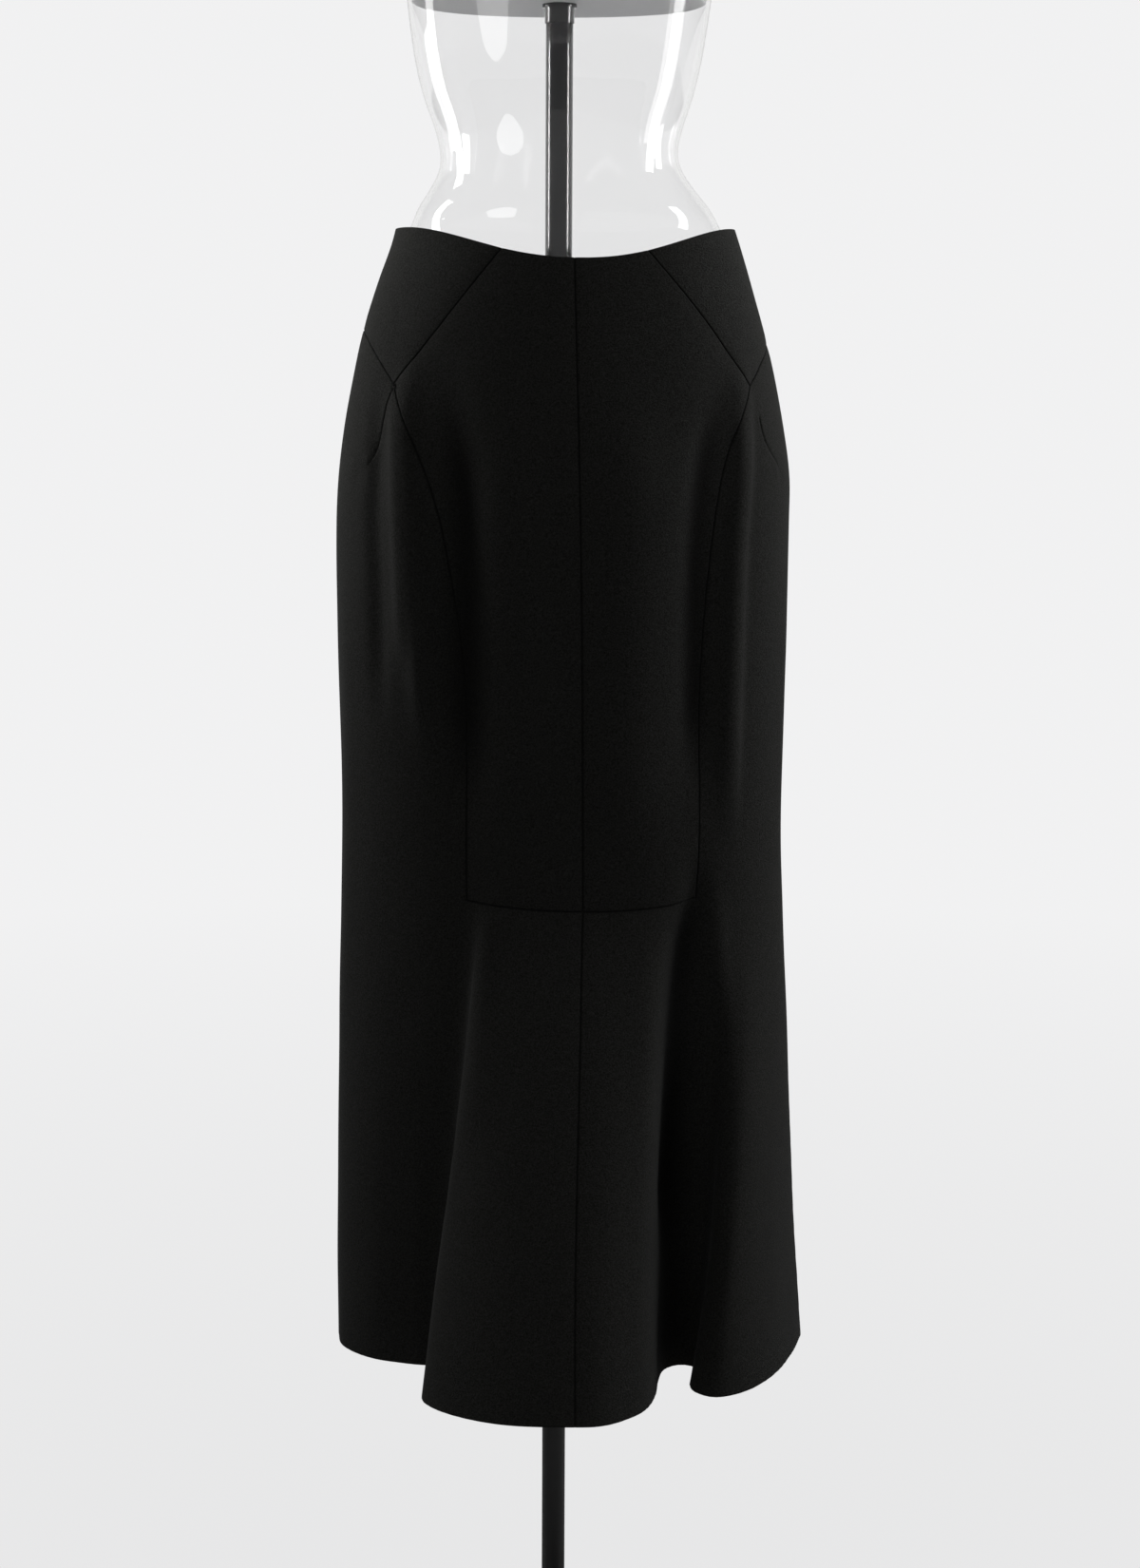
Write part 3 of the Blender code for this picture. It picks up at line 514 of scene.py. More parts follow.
    def front_diagonal(self, side: Side, v: np.ndarray) -> Places:
        """The front diagonal from the tip of the yoke to the waist.

        Args:
            side: its side.
            v: shares of its length.

        Returns:
            The places there.
        """
        top = self.waist(self.front_angle(FRONT_DIAGONAL, np.array(DIAGONAL_TOP), side))
        height = mix(self.junction, top, v)
        return place(self.front_angle(FRONT_DIAGONAL, height, side), height)

    def front_edge(self, side: Side, v: np.ndarray) -> Places:
        """The whole front seam, from the hem to the waist.

        Args:
            side: its side.
            v: shares of its length.

        Returns:
            The places there.
        """
        rows = self.knee_rows + self.rise_rows + self.yoke_rows
        row = v * rows
        past_tip = (row - self.knee_rows - self.rise_rows) / self.yoke_rows
        low = self.front_low(side, np.clip(row / self.knee_rows, 0, 1))
        rise = self.front_rise(side, np.clip((row - self.knee_rows) / self.rise_rows, 0, 1))
        yoke = self.front_diagonal(side, np.clip(past_tip, 0, 1))
        above_knee, above_tip = row > self.knee_rows, row > self.knee_rows + self.rise_rows
        return np.where(above_tip[..., None], yoke, np.where(above_knee[..., None], rise, low))

    def knee_seam(self, side: Side, w: np.ndarray) -> Places:
        """The seam across the back, from centre back to its corner."""
        angle = mix(self.centre_angle(), self.corner(side), w)
        return place(angle, self.knee(angle))

    def yoke_seam(self, side: Side, w: np.ndarray) -> Places:
        """The lower edge of a hip yoke, which arches over the side.

        Args:
            side: the yoke's side.
            w: shares of its length, from the back.

        Returns:
            The places there.
        """
        back = self.princess(side, END)[0]
        front = self.front_rise(side, END)[0]
        rise = self.yoke_rise_left if side is Side.LEFT else self.yoke_rise_right
        angle = mix(back, front, w)
        half_span, middle = (abs(front) - abs(back)) / 2, (abs(front) + abs(back)) / 2
        return place(angle, self.junction + rise * (1 - ((np.abs(angle) - middle) / half_span) ** 2))

    def level(self, start: Places, end: Places, height: float) -> Edge:
        """An edge that runs level from one place's angle to another's."""
        return lambda w: place(mix(start[0], end[0], w), height)

    def waistline(self, start: Places, end: Places) -> Edge:
        """An edge that follows the waist from one place's angle to another's."""
        return lambda w: place(mix(start[0], end[0], w), self.waist(mix(start[0], end[0], w)))


class Lines(NamedTuple):
    """Where mesh lines cross a block: a distance plus a share of the block's own length."""

    offset: np.ndarray
    share: np.ndarray


class Run(NamedTuple):
    """How far a block of cloth usually runs one way, and how far apart mesh lines cross it there."""

    length: float
    step: float


@dataclass(frozen=True)
class Weave:
    """How the mesh lines of the cloth crowd towards a seam, a free edge and a plain line."""

    seam: tuple[float, ...] = (0.0, 0.0003, 0.0007, 0.0011, 0.0016, 0.0023, 0.0033, 0.0050)
    free: tuple[float, ...] = (0.0, 0.0003, 0.0007, 0.0012, 0.0020, 0.0035)
    plain: tuple[float, ...] = (0.0,)

    def lines(self, run: Run, start: tuple[float, ...], end: tuple[float, ...]) -> Lines:
        """Lines that crowd towards the two ends of a block.

        Args:
            run: the block's usual length, and the spacing between its ends.
            start: distances of the first lines from the start.
            end: distances of the last lines from the end.

        Returns:
            The lines' distances from the start.
        """
        first, last = start[-1], end[-1]
        count = max(int(round((run.length - first - last) / run.step)), 1)
        shares = np.arange(1, count) / count
        offset = np.concatenate([start, first - (first + last) * shares, -np.array(end[::-1])])
        share = np.concatenate([np.zeros(len(start)), shares, np.ones(len(end))])
        return Lines(offset, share)


@dataclass(frozen=True)
class Block:
    """A stretch of cloth between four edges."""

    shape: SkirtShape
    lower: Edge
    upper: Edge
    start: Edge
    end: Edge
    samples: int = 161
    rulers: int = 33

    def at(self, w: np.ndarray, v: np.ndarray) -> Places:
        """Find places inside the block.

        Args:
            w: shares of its width.
            v: shares of its height.

        Returns:
            The places.
        """
        w, v = np.broadcast_arrays(w, v)
        side, level = w[..., None], v[..., None]
        zero, one = np.zeros_like(w), np.ones_like(w)
        ruled = mix(self.start(v), self.end(v), side) + mix(self.lower(w), self.upper(w), level)
        low = mix(self.lower(zero), self.lower(one), side)
        high = mix(self.upper(zero), self.upper(one), side)
        return ruled - mix(low, high, level)

    def ruler(self, fixed: np.ndarray, across: bool) -> np.ndarray:
        """Distances along the block's own lines.

        Args:
            fixed: the shares at which the lines lie.
            across: whether they run across the block or up it.

        Returns:
            One row for each line, with the distance at each sample.
        """
        run = np.linspace(0, 1, self.samples)[None, :]
        places = self.at(run, fixed[:, None]) if across else self.at(fixed[:, None], run)
        points = self.shape.point(places[..., 0], places[..., 1])
        steps = np.linalg.norm(np.diff(points, axis=1), axis=-1)
        return np.concatenate([np.zeros((len(fixed), 1)), np.cumsum(steps, axis=1)], axis=1)

    def shares(self, lines: Lines, fixed: np.ndarray, across: bool) -> np.ndarray:
        """The shares at which lines at set distances cross the block.

        Args:
            lines: the distances.
            fixed: for each line's points, the share in the other direction; rows for across, else columns.
            across: whether the distances run across the block or up it.

        Returns:
            The shares, with one row for each of the fixed rows.
        """
        marks = np.linspace(0, 1, self.rulers)
        table = self.ruler(marks, across)
        run = np.linspace(0, 1, self.samples)
        read = np.array([np.interp(lines.offset + lines.share * row[-1], row, run) for row in table])
        spot = np.clip(fixed, 0, 1) * (self.rulers - 1)
        low = np.minimum(spot.astype(int), self.rulers - 2)
        part = spot - low
        index = np.arange(len(lines.offset))
        if across:
            return read[low] * (1 - part)[:, None] + read[low + 1] * part[:, None]
        return read[low, index[:, None]] * (1 - part) + read[low + 1, index[:, None]] * part

    def lattice(self, columns: Lines, rows: Lines, turn: float | None = None) -> Places:
        """The places of a mesh over the block.

        Args:
            columns: the lines up the block.
            rows: the lines across it.
            turn: the share of the height at which its side edges turn a corner, if they do.

        Returns:
            Rows of places.
        """
        rough = self.shares(rows, np.full((len(rows.offset), 1), 0.5), False)[:, 0]
        w = self.shares(columns, rough, True)
        v = self.shares(rows, w, False)
        if turn is not None:
            v[np.abs(v - turn).argmin(axis=0), np.arange(v.shape[1])] = turn
        return self.at(w, v)


class Wave(NamedTuple):
    """A wave through space: how fast it turns along x, y and z, in radians a metre, and where it starts."""

    x: float
    y: float
    z: float
    start: float

    def at(self, points: np.ndarray) -> np.ndarray:
        """Its height at points."""
        x, y, z = points.T
        return np.sin(self.x * x + self.y * y + self.z * z + self.start)


@dataclass(frozen=True)
class Relief:
    """What the sewing and the wear do to the cloth, as lifts of its outer face, and the painted shade of its
    seams and deep troughs.
    """

    seam_roll: float = 0.0016
    seam_lap: float = 0.00015
    # The painted shade along the seams fades over this width; hollow_shade sets the painted shade in deep
    # troughs.
    seam_shade_width: float = 0.0009
    deep: float = -0.0050
    hollow_shade: float = 0.90
    free_roll: float = 0.0010
    pull: float = 0.00045
    pull_width: float = 0.0055
    pucker: float = 0.45
    pucker_rate: tuple[float, float, float] = (140.0, 90.0, 170.0)
    dart_depth: float = 0.0009
    dart_width: float = 0.0009
    dart_start: float = 1.15
    dart_fade: float = 0.55
    dart_tip: float = 0.08
    rim_lift: float = 0.3
    rim_out: float = 0.0032
    rim_width: float = 0.0020
    taper: float = 0.25
    bends: int = 40
    wave: float = 0.00045
    slow: tuple[Wave, Wave] = (Wave(31.0, 0.0, 9.0, 0.7), Wave(0.0, -17.0, 11.0, 1.9))
    quick: tuple[Wave, Wave] = (Wave(73.0, 0.0, -21.0, 2.3), Wave(0.0, 43.0, 29.0, 0.4))
    quick_share: float = 0.45

    def roll(self, distance: np.ndarray, radius: float) -> np.ndarray:
        """How far a rounded edge has turned down at a distance from it."""
        inside = np.clip(radius - distance, 0.0, radius)
        return radius - np.sqrt(radius ** 2 - inside ** 2)

    def along(self, path: Path, places: Places) -> tuple[np.ndarray, np.ndarray]:
        """Distances of places from a line on the cloth.

        Args:
            path: the line's own places.
            places: the places to measure.

        Returns:
            The distances, and the share of the line's length at which each is nearest.
        """
        scale = np.array([DEGREE, 1.0])
        corners, points = np.array(path) * scale, places * scale
        run = np.concatenate([[0.0], np.cumsum(np.linalg.norm(np.diff(corners, axis=0), axis=1))])
        line = Curve(np.column_stack([run, corners])).at(np.linspace(0.0, run[-1], self.bends))
        lengths = np.linalg.norm(np.diff(line, axis=0), axis=1)
        total, before = lengths.sum(), 0.0
        best = np.full(len(points), np.inf)
        share = np.zeros(len(points))
        for a, b, length in zip(line, line[1:], lengths):
            t = np.clip(((points - a) @ (b - a)) / length ** 2, 0, 1)
            away = np.linalg.norm(points - mix(a, b, t[:, None]), axis=1)
            nearer = away < best
            best = np.where(nearer, away, best)
            share = np.where(nearer, (before + t * length) / total, share)
            before += length
        return best, share

    def creases(self, places: Places) -> tuple[np.ndarray, np.ndarray]:
        """Shape the soft ridges and troughs, which fade out at both ends.

        Args:
            places: places on the cloth.

        Returns:
            The lift of each place, and the painted shade of the deep troughs, from 0 to 1.
        """
        lift, hollow = np.zeros(len(places)), np.zeros(len(places))
        for crease in CREASES:
            away, share = self.along(crease.path, places)
            ends = smooth_step(share / self.taper) * smooth_step((1 - share) / self.taper)
            bend = ends * bell(away, crease.width)
            lift += crease.lift * bend
            # Deep troughs also get painted shade, strongest along their middles.
            if crease.lift < self.deep:
                hollow = np.maximum(hollow, bend ** 2)
        return lift, hollow

    def darts(self, places: Places) -> np.ndarray:
        """Press in the darts, whose lines sink between slightly raised rims and die away at their points.

        Args:
            places: places on the cloth.

        Returns:
            The lift of each place.
        """
        lift = np.zeros(len(places))
        for path in DARTS:
            away, share = self.along(path, places)
            ends = np.clip(self.dart_start - self.dart_fade * share, 0, 1)
            beyond = smooth_step((1 - share) / self.dart_tip)
            lift -= self.dart_depth * ends * beyond * bell(away, self.dart_width)
            rim = bell(away - self.rim_out, self.rim_width)
            lift += self.rim_lift * self.dart_depth * ends * beyond * rim
        return lift

    def waves(self, points: np.ndarray) -> np.ndarray:
        """The slow unevenness of thick felt that hangs."""
        slow, quick = (first.at(points) * second.at(points) for first, second in (self.slow, self.quick))
        return self.wave * (slow + self.quick_share * quick)

    def worked(self, places: Places, points: np.ndarray, sewn: np.ndarray,
               free: np.ndarray) -> tuple[np.ndarray, np.ndarray]:
        """Add up what is done to the cloth.

        Args:
            places: places on the cloth.
            points: where they are in the room.
            sewn: their distances from the nearest seam.
            free: their distances from the nearest free edge.

        Returns:
            The lift of each place, and its painted shade along the seams and in the deep troughs, from 0 to
            1.
        """
        folds, hollow = self.creases(places)
        lift = folds + self.darts(places) + self.waves(points)
        lift -= self.roll(sewn, self.seam_roll) + self.roll(free, self.free_roll)
        pucker = 1 + self.pucker * np.sin(points @ np.array(self.pucker_rate))
        lift -= self.pull * pucker * bell(sewn, self.pull_width)
        # The second value is painted shade: darkest on a seam and in a deep trough.
        return lift, np.maximum(bell(sewn, self.seam_shade_width), self.hollow_shade * hollow)


@dataclass(frozen=True)
class SeamTree:
    """Sewn seams or free edges of the skirt as one search tree, to measure the cloth from."""

    shape: SkirtShape
    edges: tuple[Edge, ...]
    step: float = 0.0004
    rough_points: int = 400

    @cached_property
    def tree(self) -> KDTree:
        """Lay points along the edges.

        Returns:
            Their search tree.
        """
        clouds = []
        for edge in self.edges:
            rough = edge(np.linspace(0, 1, self.rough_points))
            steps = np.diff(self.shape.point(rough[:, 0], rough[:, 1]), axis=0)
            fine = edge(np.linspace(0, 1, int(np.linalg.norm(steps, axis=1).sum() / self.step) + 2))
            clouds.append(self.shape.point(fine[:, 0], fine[:, 1]))
        cloud = np.concatenate(clouds)
        tree = KDTree(len(cloud))
        for index, spot in enumerate(cloud):
            tree.insert(spot, index)
        tree.balance()
        return tree

    def distances(self, points: np.ndarray) -> np.ndarray:
        """How far each point is from the nearest edge."""
        return np.array([self.tree.find(spot)[2] for spot in points])


def sewn_seams(shape: SkirtShape) -> SeamTree:
    """All the seams that join two panels.

    Args:
        shape: the cloth.

    Returns:
        The seams, to measure from.
    """
    paired = (shape.knee_seam, shape.princess, shape.diagonal, shape.yoke_seam, shape.front_edge)
    sides = tuple(partial(seam, side) for side in Side for seam in paired)
    return SeamTree(shape, (shape.centre_lower, shape.centre_upper) + sides)


def free_edges(shape: SkirtShape) -> SeamTree:
    """The hem and the waist edge, all round.

    Args:
        shape: the cloth.

    Returns:
        The two edges, to measure from.
    """
    start, end = np.array([-180.0]), np.array([180.0])
    return SeamTree(shape, (shape.level(start, end, 0.0), shape.waistline(start, end)))


def link(name: str, mesh: bmesh.types.BMesh, material: bpy.types.Material) -> bpy.types.Object:
    """Make a bmesh a smooth object of the scene.

    Args:
        name: the object's name.
        mesh: its shape, which is freed.
        material: its finish.

    Returns:
        The object.
    """
    data = bpy.data.meshes.new(name)
    mesh.to_mesh(data)
    mesh.free()
    data.shade_smooth()
    data.materials.append(material)
    obj = bpy.data.objects.new(name, data)
    bpy.context.scene.collection.objects.link(obj)
    return obj


def wall(obj: bpy.types.Object, thickness: float) -> None:
    """Give a skin its thickness, inwards from its outer face.

    Args:
        obj: the skin.
        thickness: how thick it becomes.
    """
    solid = obj.modifiers.new("Thickness", "SOLIDIFY")
    solid.thickness = thickness
    solid.offset = -1.0
    solid.use_quality_normals = True


class Noise(NamedTuple):
    """A noise: its grains to a metre, its octaves, how strong the fine ones are, and its stretch."""

    scale: float
    detail: float
    roughness: float
    stretch: tuple[float, float, float] = (1.0, 1.0, 1.0)


class Shader:
    """A node material with a Principled shader, and short ways to add to it."""

    def __init__(self, name: str) -> None:
        """Start the material with its shader and output.

        Args:
            name: the material's name.
        """
        self.material = bpy.data.materials.new(name)
        self.material.use_nodes = True
        self.tree = self.material.node_tree
        self.principled = self.tree.nodes["Principled BSDF"]
        self.output = self.tree.nodes["Material Output"]

    def set(self, **values: object) -> None:
        """Set sockets of the shader, with spaces of their names written as underscores."""
        for name, value in values.items():
            self.principled.inputs[name.replace("_", " ")].default_value = value

    def node(self, kind: str, **values: object) -> bpy.types.Node:
        """Add a node.

        Args:
            kind: its type.
            values: its sockets' values, with underscores for spaces.

        Returns:
            The node.
        """
        node = self.tree.nodes.new(kind)
        for name, value in values.items():
            node.inputs[name.replace("_", " ")].default_value = value
        return node

    def join(self, source: bpy.types.NodeSocket, target: bpy.types.NodeSocket) -> None:
        """Link two sockets."""
        self.tree.links.new(source, target)

    def coordinates(self) -> bpy.types.NodeSocket:
        """The piece's own coordinates, in metres."""
        return self.node("ShaderNodeTexCoord").outputs["Object"]

    def noise(self, grain: Noise) -> bpy.types.NodeSocket:
        """Spread a noise over the piece.

        Args:
            grain: how it looks.

        Returns:
            Its value, about a half.
        """
        mapping = self.node("ShaderNodeMapping", Scale=grain.stretch)
        noise = self.node("ShaderNodeTexNoise", Scale=grain.scale, Detail=grain.detail,
                          Roughness=grain.roughness)
        self.join(self.coordinates(), mapping.inputs["Vector"])
        self.join(mapping.outputs["Vector"], noise.inputs["Vector"])
        return noise.outputs["Fac"]

    def ramp(self, value: bpy.types.NodeSocket, span: tuple[float, float], colours: tuple[tuple, tuple]
             ) -> bpy.types.NodeSocket:
        """Go from one colour to another.

        Args:
            value: what the colour follows.
            span: the values at which it starts and ends.
            colours: the two colours.

        Returns:
            The colour.
        """
        ramp = self.node("ShaderNodeValToRGB")
        for stop, position, colour in zip(ramp.color_ramp.elements, span, colours):
            stop.position = position
            stop.color = (*colour, 1)
        self.join(value, ramp.inputs["Fac"])
        return ramp.outputs["Color"]

    def bump(self, value: bpy.types.NodeSocket, distance: float) -> None:
        """Raise the surface, on top of any bump that it has.

        Args:
            value: what its height follows.
            distance: how far it rises.
        """
        bump = self.node("ShaderNodeBump", Strength=1.0, Distance=distance)
        self.join(value, bump.inputs["Height"])
        normal = self.principled.inputs["Normal"]
        if normal.is_linked:
            self.join(normal.links[0].from_socket, bump.inputs["Normal"])
        self.join(bump.outputs["Normal"], normal)


@dataclass(frozen=True)
class FeltedWool:
    """Dense black felt with a faint nap."""

    dark: tuple = (0.0070, 0.0071, 0.0060)
    light: tuple = (0.0290, 0.0291, 0.0276)
    span: tuple[float, float] = (0.30, 0.72)
    roughness: float = 0.95
    specular: float = 0.06
    sheen: float = 0.02
    sheen_roughness: float = 0.50
    sheen_tint: tuple = (0.95, 0.97, 1.0, 1.0)
    grain: Noise = Noise(760.0, 3.0, 0.65)
    fibre: Noise = Noise(420.0, 2.0, 0.6, (1.0, 1.0, 2.6))
    grain_relief: float = 0.00035
    fibre_relief: float = 0.00028
    # How dark the painted shade of the seams and deep troughs gets.
    seam_shade: float = 0.35

    def build(self) -> bpy.types.Material:
        """Make the felt, with painted shade along its seams and in its deep troughs.

        Returns:
            The material.
        """
        shader = Shader("Black_felted_wool")
        shader.set(Roughness=self.roughness, Specular_IOR_Level=self.specular, Sheen_Weight=self.sheen,
                   Sheen_Roughness=self.sheen_roughness, Sheen_Tint=self.sheen_tint)
        grain = shader.noise(self.grain)
        fibre = shader.noise(self.fibre)
        colour = shader.ramp(grain, self.span, (self.dark, self.light))
        # The layer darkens the colour: painted shade along the seams and in the deep troughs.
        painted_shade = shader.node("ShaderNodeAttribute")
        painted_shade.attribute_name = SHADE_LAYER
        shade = shader.node("ShaderNodeMapRange", To_Min=1.0, To_Max=self.seam_shade)
        shader.join(painted_shade.outputs["Fac"], shade.inputs["Value"])
        shaded = shader.node("ShaderNodeVectorMath")
        shaded.operation = "SCALE"
        shader.join(colour, shaded.inputs[0])
        shader.join(shade.outputs["Result"], shaded.inputs["Scale"])
        shader.join(shaded.outputs["Vector"], shader.principled.inputs["Base Color"])
        shader.bump(grain, self.grain_relief)
        shader.bump(fibre, self.fibre_relief)
        return shader.material


@dataclass(frozen=True)
class ClearPlastic:
    """Clear, glossy moulded plastic that lets light straight through to what it encloses."""

    tint: tuple = (0.99, 0.99, 0.99, 1.0)
    roughness: float = 0.015
    index: float = 1.46

    def build(self) -> bpy.types.Material:
        """Make the plastic.

        Returns:
            The material.
        """
        shader = Shader("Clear_plastic")
        shader.set(Base_Color=self.tint, Roughness=self.roughness, IOR=self.index, Transmission_Weight=1.0)
        return shader.material


@dataclass(frozen=True)
class Paint:
    """Black paint on metal."""

    name: str
    colour: tuple
    roughness: float
    coat: float
    coat_roughness: float = 0.06
    grain: Noise = Noise(260.0, 2.0, 0.5)
    relief: float = 0.00002

    def build(self) -> bpy.types.Material:
        """Make the paint.

        Returns:
            The material.
        """
        shader = Shader(self.name)
        shader.set(Base_Color=self.colour, Roughness=self.roughness, Coat_Weight=self.coat,
                   Coat_Roughness=self.coat_roughness)
        shader.bump(shader.noise(self.grain), self.relief)
        return shader.material


@dataclass(frozen=True)
class GreySheet:
    """The frosted grey sheet of the support plate."""

    colour: tuple = (0.92, 0.92, 0.93, 1.0)
    roughness: float = 0.5
    through: float = 0.75
    grain: Noise = Noise(900.0, 2.0, 0.5)
    relief: float = 0.00003

    def build(self) -> bpy.types.Material:
        """Make the sheet.

        Returns:
            The material.
        """
        shader = Shader("Grey_sheet")
        shader.set(Base_Color=self.colour, Roughness=self.roughness, Transmission_Weight=self.through)
        shader.bump(shader.noise(self.grain), self.relief)
        return shader.material


@dataclass(frozen=True)
class Cut:
    """The flat piece that a panel is cut from."""

    width: float
    length: float
    area: float


@dataclass(frozen=True)
class ClothPanel:
    """One panel of the skirt, sewn to its neighbours and hung from the form."""

    shape: SkirtShape
    sewn: SeamTree
    free: SeamTree
    relief: Relief
    wool: bpy.types.Material
    node: str
    cut: Cut
    cloth: float = 0.0022
    dart_zone: float = 0.0065
    dart_rounds: tuple[float, ...] = (1.0, 0.55, 0.3)
    weld: float = 0.00001
    weave: Weave = Weave()

    def blocks(self) -> list[Places]:
        """The lattices that make up the panel."""
        raise NotImplementedError

    def flat_places(self, mesh: bmesh.types.BMesh) -> Places:
        """The places of a panel that is laid out flat."""
        return np.array([(v.co.x / DEGREE, v.co.y) for v in mesh.verts])

    def flat_mesh(self) -> bmesh.types.BMesh:
        """Lay the panel out by angle and height, with its blocks joined and its darts meshed finely.

        Returns:
            The flat panel, which faces up.
        """
        mesh = bmesh.new()
        for lattice in self.blocks():
            rows, columns = lattice.shape[:2]
            known = len(mesh.verts)
            bmesh.ops.create_grid(mesh, x_segments=columns - 1, y_segments=rows - 1, size=0.5)
            mesh.verts.ensure_lookup_table()
            for vert in mesh.verts[known:]:
                column = int(round((vert.co.x + 0.5) * (columns - 1)))
                row = int(round((vert.co.y + 0.5) * (rows - 1)))
                angle, height = lattice[row, column]
                vert.co = (angle * DEGREE, height, 0.0)
        bmesh.ops.remove_doubles(mesh, verts=mesh.verts, dist=self.weld)
        for reach in self.dart_rounds:
            places = self.flat_places(mesh)
            near = np.zeros(len(places), bool)
            for path in DARTS:
                near |= self.relief.along(path, places)[0] < self.dart_zone * reach
            mesh.verts.index_update()
            edges = [e for e in mesh.edges if near[e.verts[0].index] and near[e.verts[1].index]]
            if edges:
                bmesh.ops.subdivide_edges(mesh, edges=edges, cuts=1, use_grid_fill=True)
        mesh.normal_update()
        if sum(face.normal.z * face.calc_area() for face in mesh.faces) < 0:
            bmesh.ops.reverse_faces(mesh, faces=mesh.faces)
        return mesh

    def lap(self, mesh: bmesh.types.BMesh, out: np.ndarray) -> None:
        """Carry the panel's edges a hair past the seams, so that no light shows between two panels.

        Args:
            mesh: the hung panel.
            out: the directions out of the cloth at its points.
        """
        mesh.verts.index_update()
        moves = []
        for vert in mesh.verts:
            inner = [e.other_vert(vert).co for e in vert.link_edges if not e.is_boundary]
            if vert.is_boundary and inner:
                normal = Vector(out[vert.index])
                step = vert.co - sum(inner, Vector()) / len(inner)
                moves.append((vert, (step - normal * step.dot(normal)).normalized() * self.relief.seam_lap))
        for vert, move in moves:
            vert.co += move

    def build(self) -> bpy.types.Object:
        """Hang the panel.

        Returns:
            The piece, which stands for its node.
        """
        mesh = self.flat_mesh()
        places = self.flat_places(mesh)
        points = self.shape.point(places[:, 0], places[:, 1])
        out = self.shape.normal(places[:, 0], places[:, 1])
        lift, shade_amounts = self.relief.worked(places, points, self.sewn.distances(points),
                                          self.free.distances(points))
        for vert, spot in zip(mesh.verts, points + out * lift[:, None]):
            vert.co = spot
        self.lap(mesh, out)
        # Keep the painted shade of the seams and deep troughs as a layer for the felt's colour.
        painted_shade = mesh.verts.layers.float.new(SHADE_LAYER)
        for vert, depth in zip(mesh.verts, shade_amounts):
            vert[painted_shade] = depth
        panel = link(f"{self.node}_wool", mesh, self.wool)
        wall(panel, self.cloth)
        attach(panel, BODY)
        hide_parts(self.node)
        LOG.info("%s: %d faces", panel.name, len(panel.data.polygons))
        return panel


@dataclass(frozen=True)
class BackUpperPanel(ClothPanel):
    """An upper back panel, from the knee seam to the waist."""

    side: Side = Side.LEFT
    across: Run = Run(0.130, 0.0045)
    up: Run = Run(0.550, 0.0065)

    def blocks(self) -> list[Places]:
        """Mesh one block, between centre back and the princess and diagonal seams.

        Returns:
            Its lattice.
        """
        shape, weave = self.shape, self.weave
        centre, edge = shape.centre_upper, partial(shape.back_edge, self.side)
        block = Block(shape, partial(shape.knee_seam, self.side), shape.waistline(centre(END), edge(END)),
                      centre, edge)
        columns = weave.lines(self.across, weave.seam, weave.seam)
        return [block.lattice(columns, weave.lines(self.up, weave.seam, weave.free), shape.back_turn())]


@dataclass(frozen=True)
class HipYoke(ClothPanel):
    """A hip yoke, from its back diagonal round the side to its front diagonal."""

    side: Side = Side.LEFT
    across: Run = Run(0.290, 0.0050)
    up: Run = Run(0.120, 0.0045)

    def blocks(self) -> list[Places]:
        """Mesh one block, between the yoke seam and the waist.

        Returns:
            Its lattice.
        """
        shape, weave = self.shape, self.weave
        back, front = partial(shape.diagonal, self.side), partial(shape.front_diagonal, self.side)
        block = Block(shape, partial(shape.yoke_seam, self.side), shape.waistline(back(END), front(END)),
                      back, front)
        columns = weave.lines(self.across, weave.seam, weave.seam)
        return [block.lattice(columns, weave.lines(self.up, weave.seam, weave.free))]


@dataclass(frozen=True)
class SidePanel(ClothPanel):
    """A side panel, which runs on across the back below the knee."""

    side: Side = Side.LEFT
    back_across: Run = Run(0.230, 0.0045)
    side_across: Run = Run(0.400, 0.0050)
    lower_up: Run = Run(0.440, 0.0070)
    upper_up: Run = Run(0.460, 0.0065)

    def blocks(self) -> list[Places]:
        """Mesh three blocks: the flare's back, the flare's side, and the hip above them.

        Returns:
            Their lattices.
        """
        shape, side, weave = self.shape, self.side, self.weave
        fall, front = partial(shape.corner_fall, side), partial(shape.front_low, side)
        knee = shape.level(fall(END), front(END), shape.knee_corner)
        back_hem = shape.level(shape.centre_lower(START), fall(START), 0.0)
        side_hem = shape.level(fall(START), front(START), 0.0)
        back = Block(shape, back_hem, partial(shape.knee_seam, side), shape.centre_lower, fall)
        flank = Block(shape, side_hem, knee, fall, front)
        hip = Block(shape, knee, partial(shape.yoke_seam, side), partial(shape.princess, side),
                    partial(shape.front_rise, side))
        rows = weave.lines(self.lower_up, weave.free, weave.seam)
        columns = weave.lines(self.side_across, weave.seam, weave.seam)
        return [
            back.lattice(weave.lines(self.back_across, weave.seam, weave.plain), rows),
            flank.lattice(columns, rows),
            hip.lattice(columns, weave.lines(self.upper_up, weave.plain, weave.seam)),
        ]


@dataclass(frozen=True)
class FrontPanel(ClothPanel):
    """The plain front, from front seam to front seam."""

    across: Run = Run(0.230, 0.0060)
    up: Run = Run(0.960, 0.0080)

    def left_edge(self, v: np.ndarray) -> Places:
        """The left front seam, with its angles counted round by way of the right."""
        return self.shape.front_edge(Side.LEFT, v) + np.array([360.0, 0.0])

    def blocks(self) -> list[Places]:
        """Mesh one block, from the hem to the waist.

        Returns:
            Its lattice.
        """
        shape, weave = self.shape, self.weave
        right, left = partial(shape.front_edge, Side.RIGHT), self.left_edge
        block = Block(shape, shape.level(right(START), left(START), 0.0),
                      shape.waistline(right(END), left(END)), right, left)
        columns = weave.lines(self.across, weave.seam, weave.seam)
        return [block.lattice(columns, weave.lines(self.up, weave.free, weave.free), shape.front_turn())]


